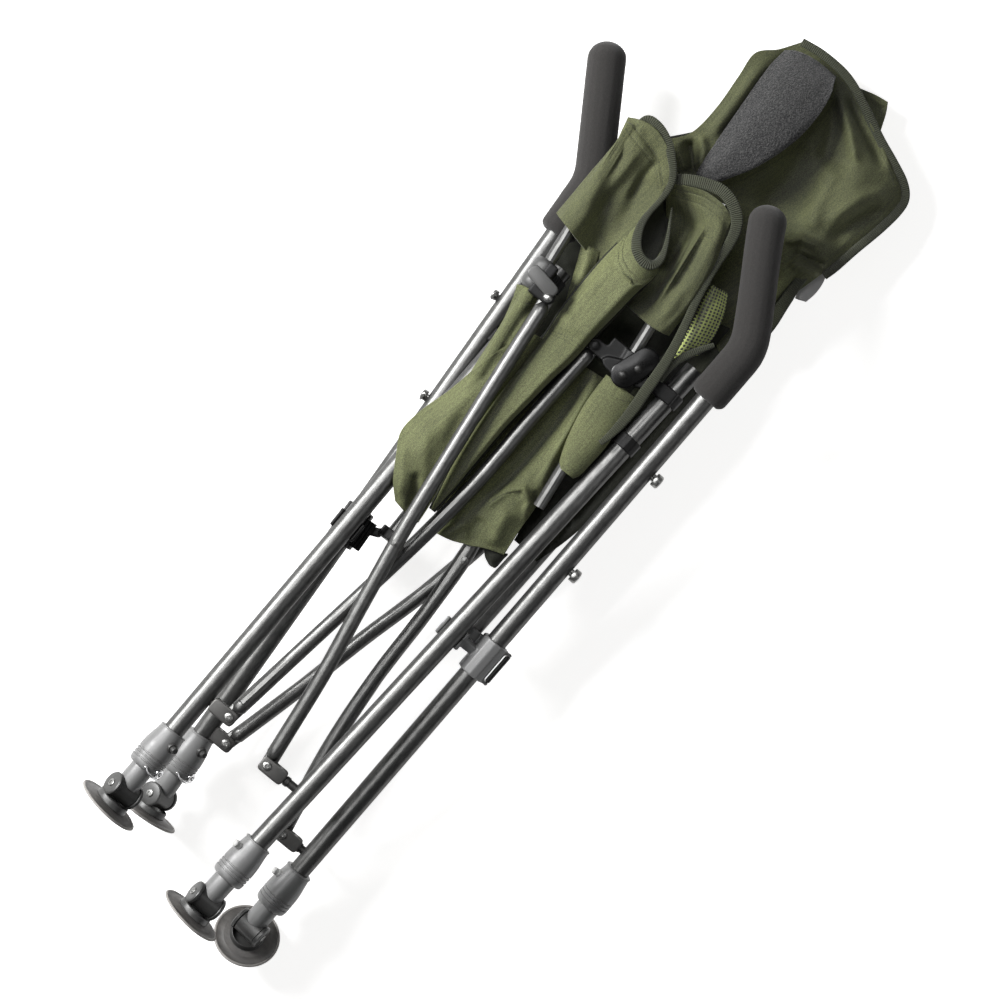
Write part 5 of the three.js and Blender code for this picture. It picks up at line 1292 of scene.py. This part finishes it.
def dress_bracket(leg):
    """Clevis of the brace: two cheeks, a web, a stud into the tube, and the rivet's heads."""
    body = f"{leg.name}_leg"
    pivot = np.array(JOINTS[f"{leg.name}_brace_pivot"]["pos_m"])
    middle = leg.pin + leg.way * (pivot - leg.pin)[0] / leg.way[0]
    toward = np.array([0, math.copysign(1, middle[1] - pivot[1]), 0])
    root = pivot + toward * CHEEK_REACH
    for tag, low, high in (("upper", CHEEK_INSIDE, CHEEK_OUTSIDE), ("lower", -CHEEK_OUTSIDE, -CHEEK_INSIDE)):
        cheek = plate(f"{leg.name}_cheek_{tag}", pivot, root, CHEEK_HALF, pivot[2] + low, pivot[2] + high,
                      "dark_steel", body, slot="dark_plastic", square=0.5)
    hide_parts(f"lower_bracket_{leg.name}")
    web, half = root - toward * WEB_SETBACK, np.array([WEB_LENGTH / 2, 0, 0])
    plate(f"{leg.name}_bracket_web", web - half, web + half, WEB_HALF, pivot[2] - WEB_RISE, pivot[2] + WEB_RISE,
          "dark_steel", body, slot="dark_plastic")
    run = 1000 * float(np.linalg.norm(middle - root))
    stud = [(0, 5.4), (1.2, 5.4), (1.5, 4.6), (run * 0.25, 4.6), (run * 0.27, 5.6), (run * 0.4, 5.6),
            (run * 0.42, 4.6), (run, 4.6)]
    leg.turned("bracket_stud", root, middle - root, stud, "dark_steel", "leg", STUD_SIDES, "dark_plastic")
    for tag, rise in (("top", 1), ("base", -1)):
        out = np.array([0, 0, rise])
        leg.turned(f"brace_rivet_{tag}", pivot + out * RIVET_PLACE, out, RIVET_PROFILE, "bright_steel", "leg",
                   STUD_SIDES)


def cover_brace(leg):
    """An even round tube through the middles of the brace's rings."""
    places = np.array([v.co for v in NODES[f"brace_{leg.name}"].data.vertices])
    places = places[np.argsort(places[:, 0])]
    rings = np.split(places, np.flatnonzero(np.diff(places[:, 0]) > RING_GAP) + 1)
    middles = [(ring.max(0) + ring.min(0)) / 2 for ring in rings
               if abs(np.ptp(ring[:, 2]) - 2 * BRACE_RADIUS) < ROUND_ENOUGH]
    wire(f"{leg.name}_brace_finish", middles, BRACE_RADIUS + BRACE_SKIN, "black_tube", f"{leg.name}_brace", 40)


LEGS = {name: Leg(name) for name in ("front_left", "rear_left", "front_right", "rear_right")}
for leg in LEGS.values():
    cover_tube(leg)
    dress_collar(leg)
    dress_socket(leg)
    dress_foot(leg)
    if leg.name.endswith("left"):
        bend_clip(leg)
    dress_bracket(leg)
    cover_brace(leg)

# Knobs of the screws through the tubes: the leg, the pixel that each is seen at, and its share of the profile
KNOB_PIXELS = (
    ("rear_left", 498, 297, 1), ("rear_left", 425, 395, 1), ("rear_right", 651, 476, 1.35),
    ("rear_right", 569, 571, 1.35),
)
KNOB_FOOT = 10.4                      # where a knob starts, inside the tube
KNOB_PROFILE = [
    (KNOB_FOOT, 3), (12.6, 3), (12.8, 5.2), (13.4, 5.6), (17.6, 5.6), (18.3, 5.1), (18.8, 4), (19.1, 2.4),
    (19.2, 0.4),
]
for number, (name, px, py, share) in enumerate(KNOB_PIXELS):
    leg = LEGS[name]
    seen = spots([px, py, 1000 * leg.pin[2]])
    # The height under the pixel and the place along the leg settle in a few rounds
    for _ in range(3):
        base = leg.pin + leg.way * float((seen - leg.pin) @ leg.way)
        seen = spots([px, py, 1000 * base[2]])
    out = seen - base
    out -= leg.way * (out @ leg.way)
    profile = [(KNOB_FOOT + (far - KNOB_FOOT) * share, radius * share) for far, radius in KNOB_PROFILE]
    lathe(f"tube_knob_{number}", base, out, profile, "bright_steel", f"{name}_leg", 40)

# Floor: pale, and brighter to the camera and to reflections, so that it stays near white round the shadows
FLOOR_SIZE, FLOOR_DROP = 30, 0.0006
FLOOR_GLOW, FLOOR_BASE_GLOW = 0.79, 0.02
bpy.ops.mesh.primitive_plane_add(size=FLOOR_SIZE, location=(0, 0, -FLOOR_DROP))
floor = bpy.context.object
floor.name = "floor"
f = Finish("floor", roughness=0.9, Specular_IOR_Level=0.0, Emission_Color=(1, 0.995, 0.985, 1))
f.colour(linear(232, 232, 232))
rays = f.tree.nodes.new("ShaderNodeLightPath").outputs
direct = f.math("MAXIMUM", rays["Is Camera Ray"], rays["Is Glossy Ray"])
f.feed(f.shader.inputs["Emission Strength"], f.scaled(direct, FLOOR_GLOW, FLOOR_BASE_GLOW))
floor.data.materials.append(f.material)

# White surroundings for the camera, softer ones for the light
world = bpy.data.worlds.new("surroundings")
SCENE.world = world
world.use_nodes = True
tree = world.node_tree
tree.nodes.clear()
out = tree.nodes.new("ShaderNodeOutputWorld")
seen = tree.nodes.new("ShaderNodeBackground")
seen.inputs["Color"].default_value = (1, 1, 1, 1)
light = tree.nodes.new("ShaderNodeBackground")
light.inputs["Color"].default_value = (0.97, 0.985, 1, 1)
light.inputs["Strength"].default_value = 0.1
blend = tree.nodes.new("ShaderNodeMixShader")
path = tree.nodes.new("ShaderNodeLightPath")
direct = tree.nodes.new("ShaderNodeMath")
direct.operation = "MAXIMUM"
tree.links.new(path.outputs["Is Camera Ray"], direct.inputs[0])
tree.links.new(path.outputs["Is Transmission Ray"], direct.inputs[1])
tree.links.new(direct.outputs[0], blend.inputs[0])
tree.links.new(light.outputs[0], blend.inputs[1])
tree.links.new(seen.outputs[0], blend.inputs[2])
tree.links.new(blend.outputs[0], out.inputs[0])


def soft_light(name, place, target, size, power, shapes=True):
    """A rectangular lamp that faces a target; without shapes only glossy surfaces show it."""
    data = bpy.data.lights.new(name, "AREA")
    data.shape = "RECTANGLE"
    data.size, data.size_y = size
    data.energy = power
    lamp = bpy.data.objects.new(name, data)
    SCENE.collection.objects.link(lamp)
    lamp.location = place
    lamp.visible_diffuse = shapes
    aim = (Vector(target) - Vector(place)).to_track_quat("-Z", "Y").to_matrix()
    lamp.rotation_euler = aim.to_euler()


def beside(across, up, height):
    """A place given by how far right and up it lies in the picture, in metres."""
    x = VIEW_X + across * RIGHT[0] + up * UP[0]
    y = VIEW_Y + across * RIGHT[1] + up * UP[1]
    return (x, y, height)


# A low key from the left, a weak fill from the right, and two large screens that only the gloss shows
soft_light("key", beside(-2.0, 1.5, 1.7), (0, 0, 0), (0.8, 1.2), 140)
soft_light("fill", beside(1.8, -0.8, 2.0), (0, 0, 0), (0.8, 1.8), 7)
soft_light("screen", (0.6, 1.0, 2.2), (0.1, 0, 0), (1.8, 1.3), 62, shapes=False)
soft_light("low_screen", (-1.0, 1.0, 2.2), (-0.3, 0, 0), (1.3, 1.3), 22, shapes=False)

SCENE.view_settings.view_transform = "Standard"
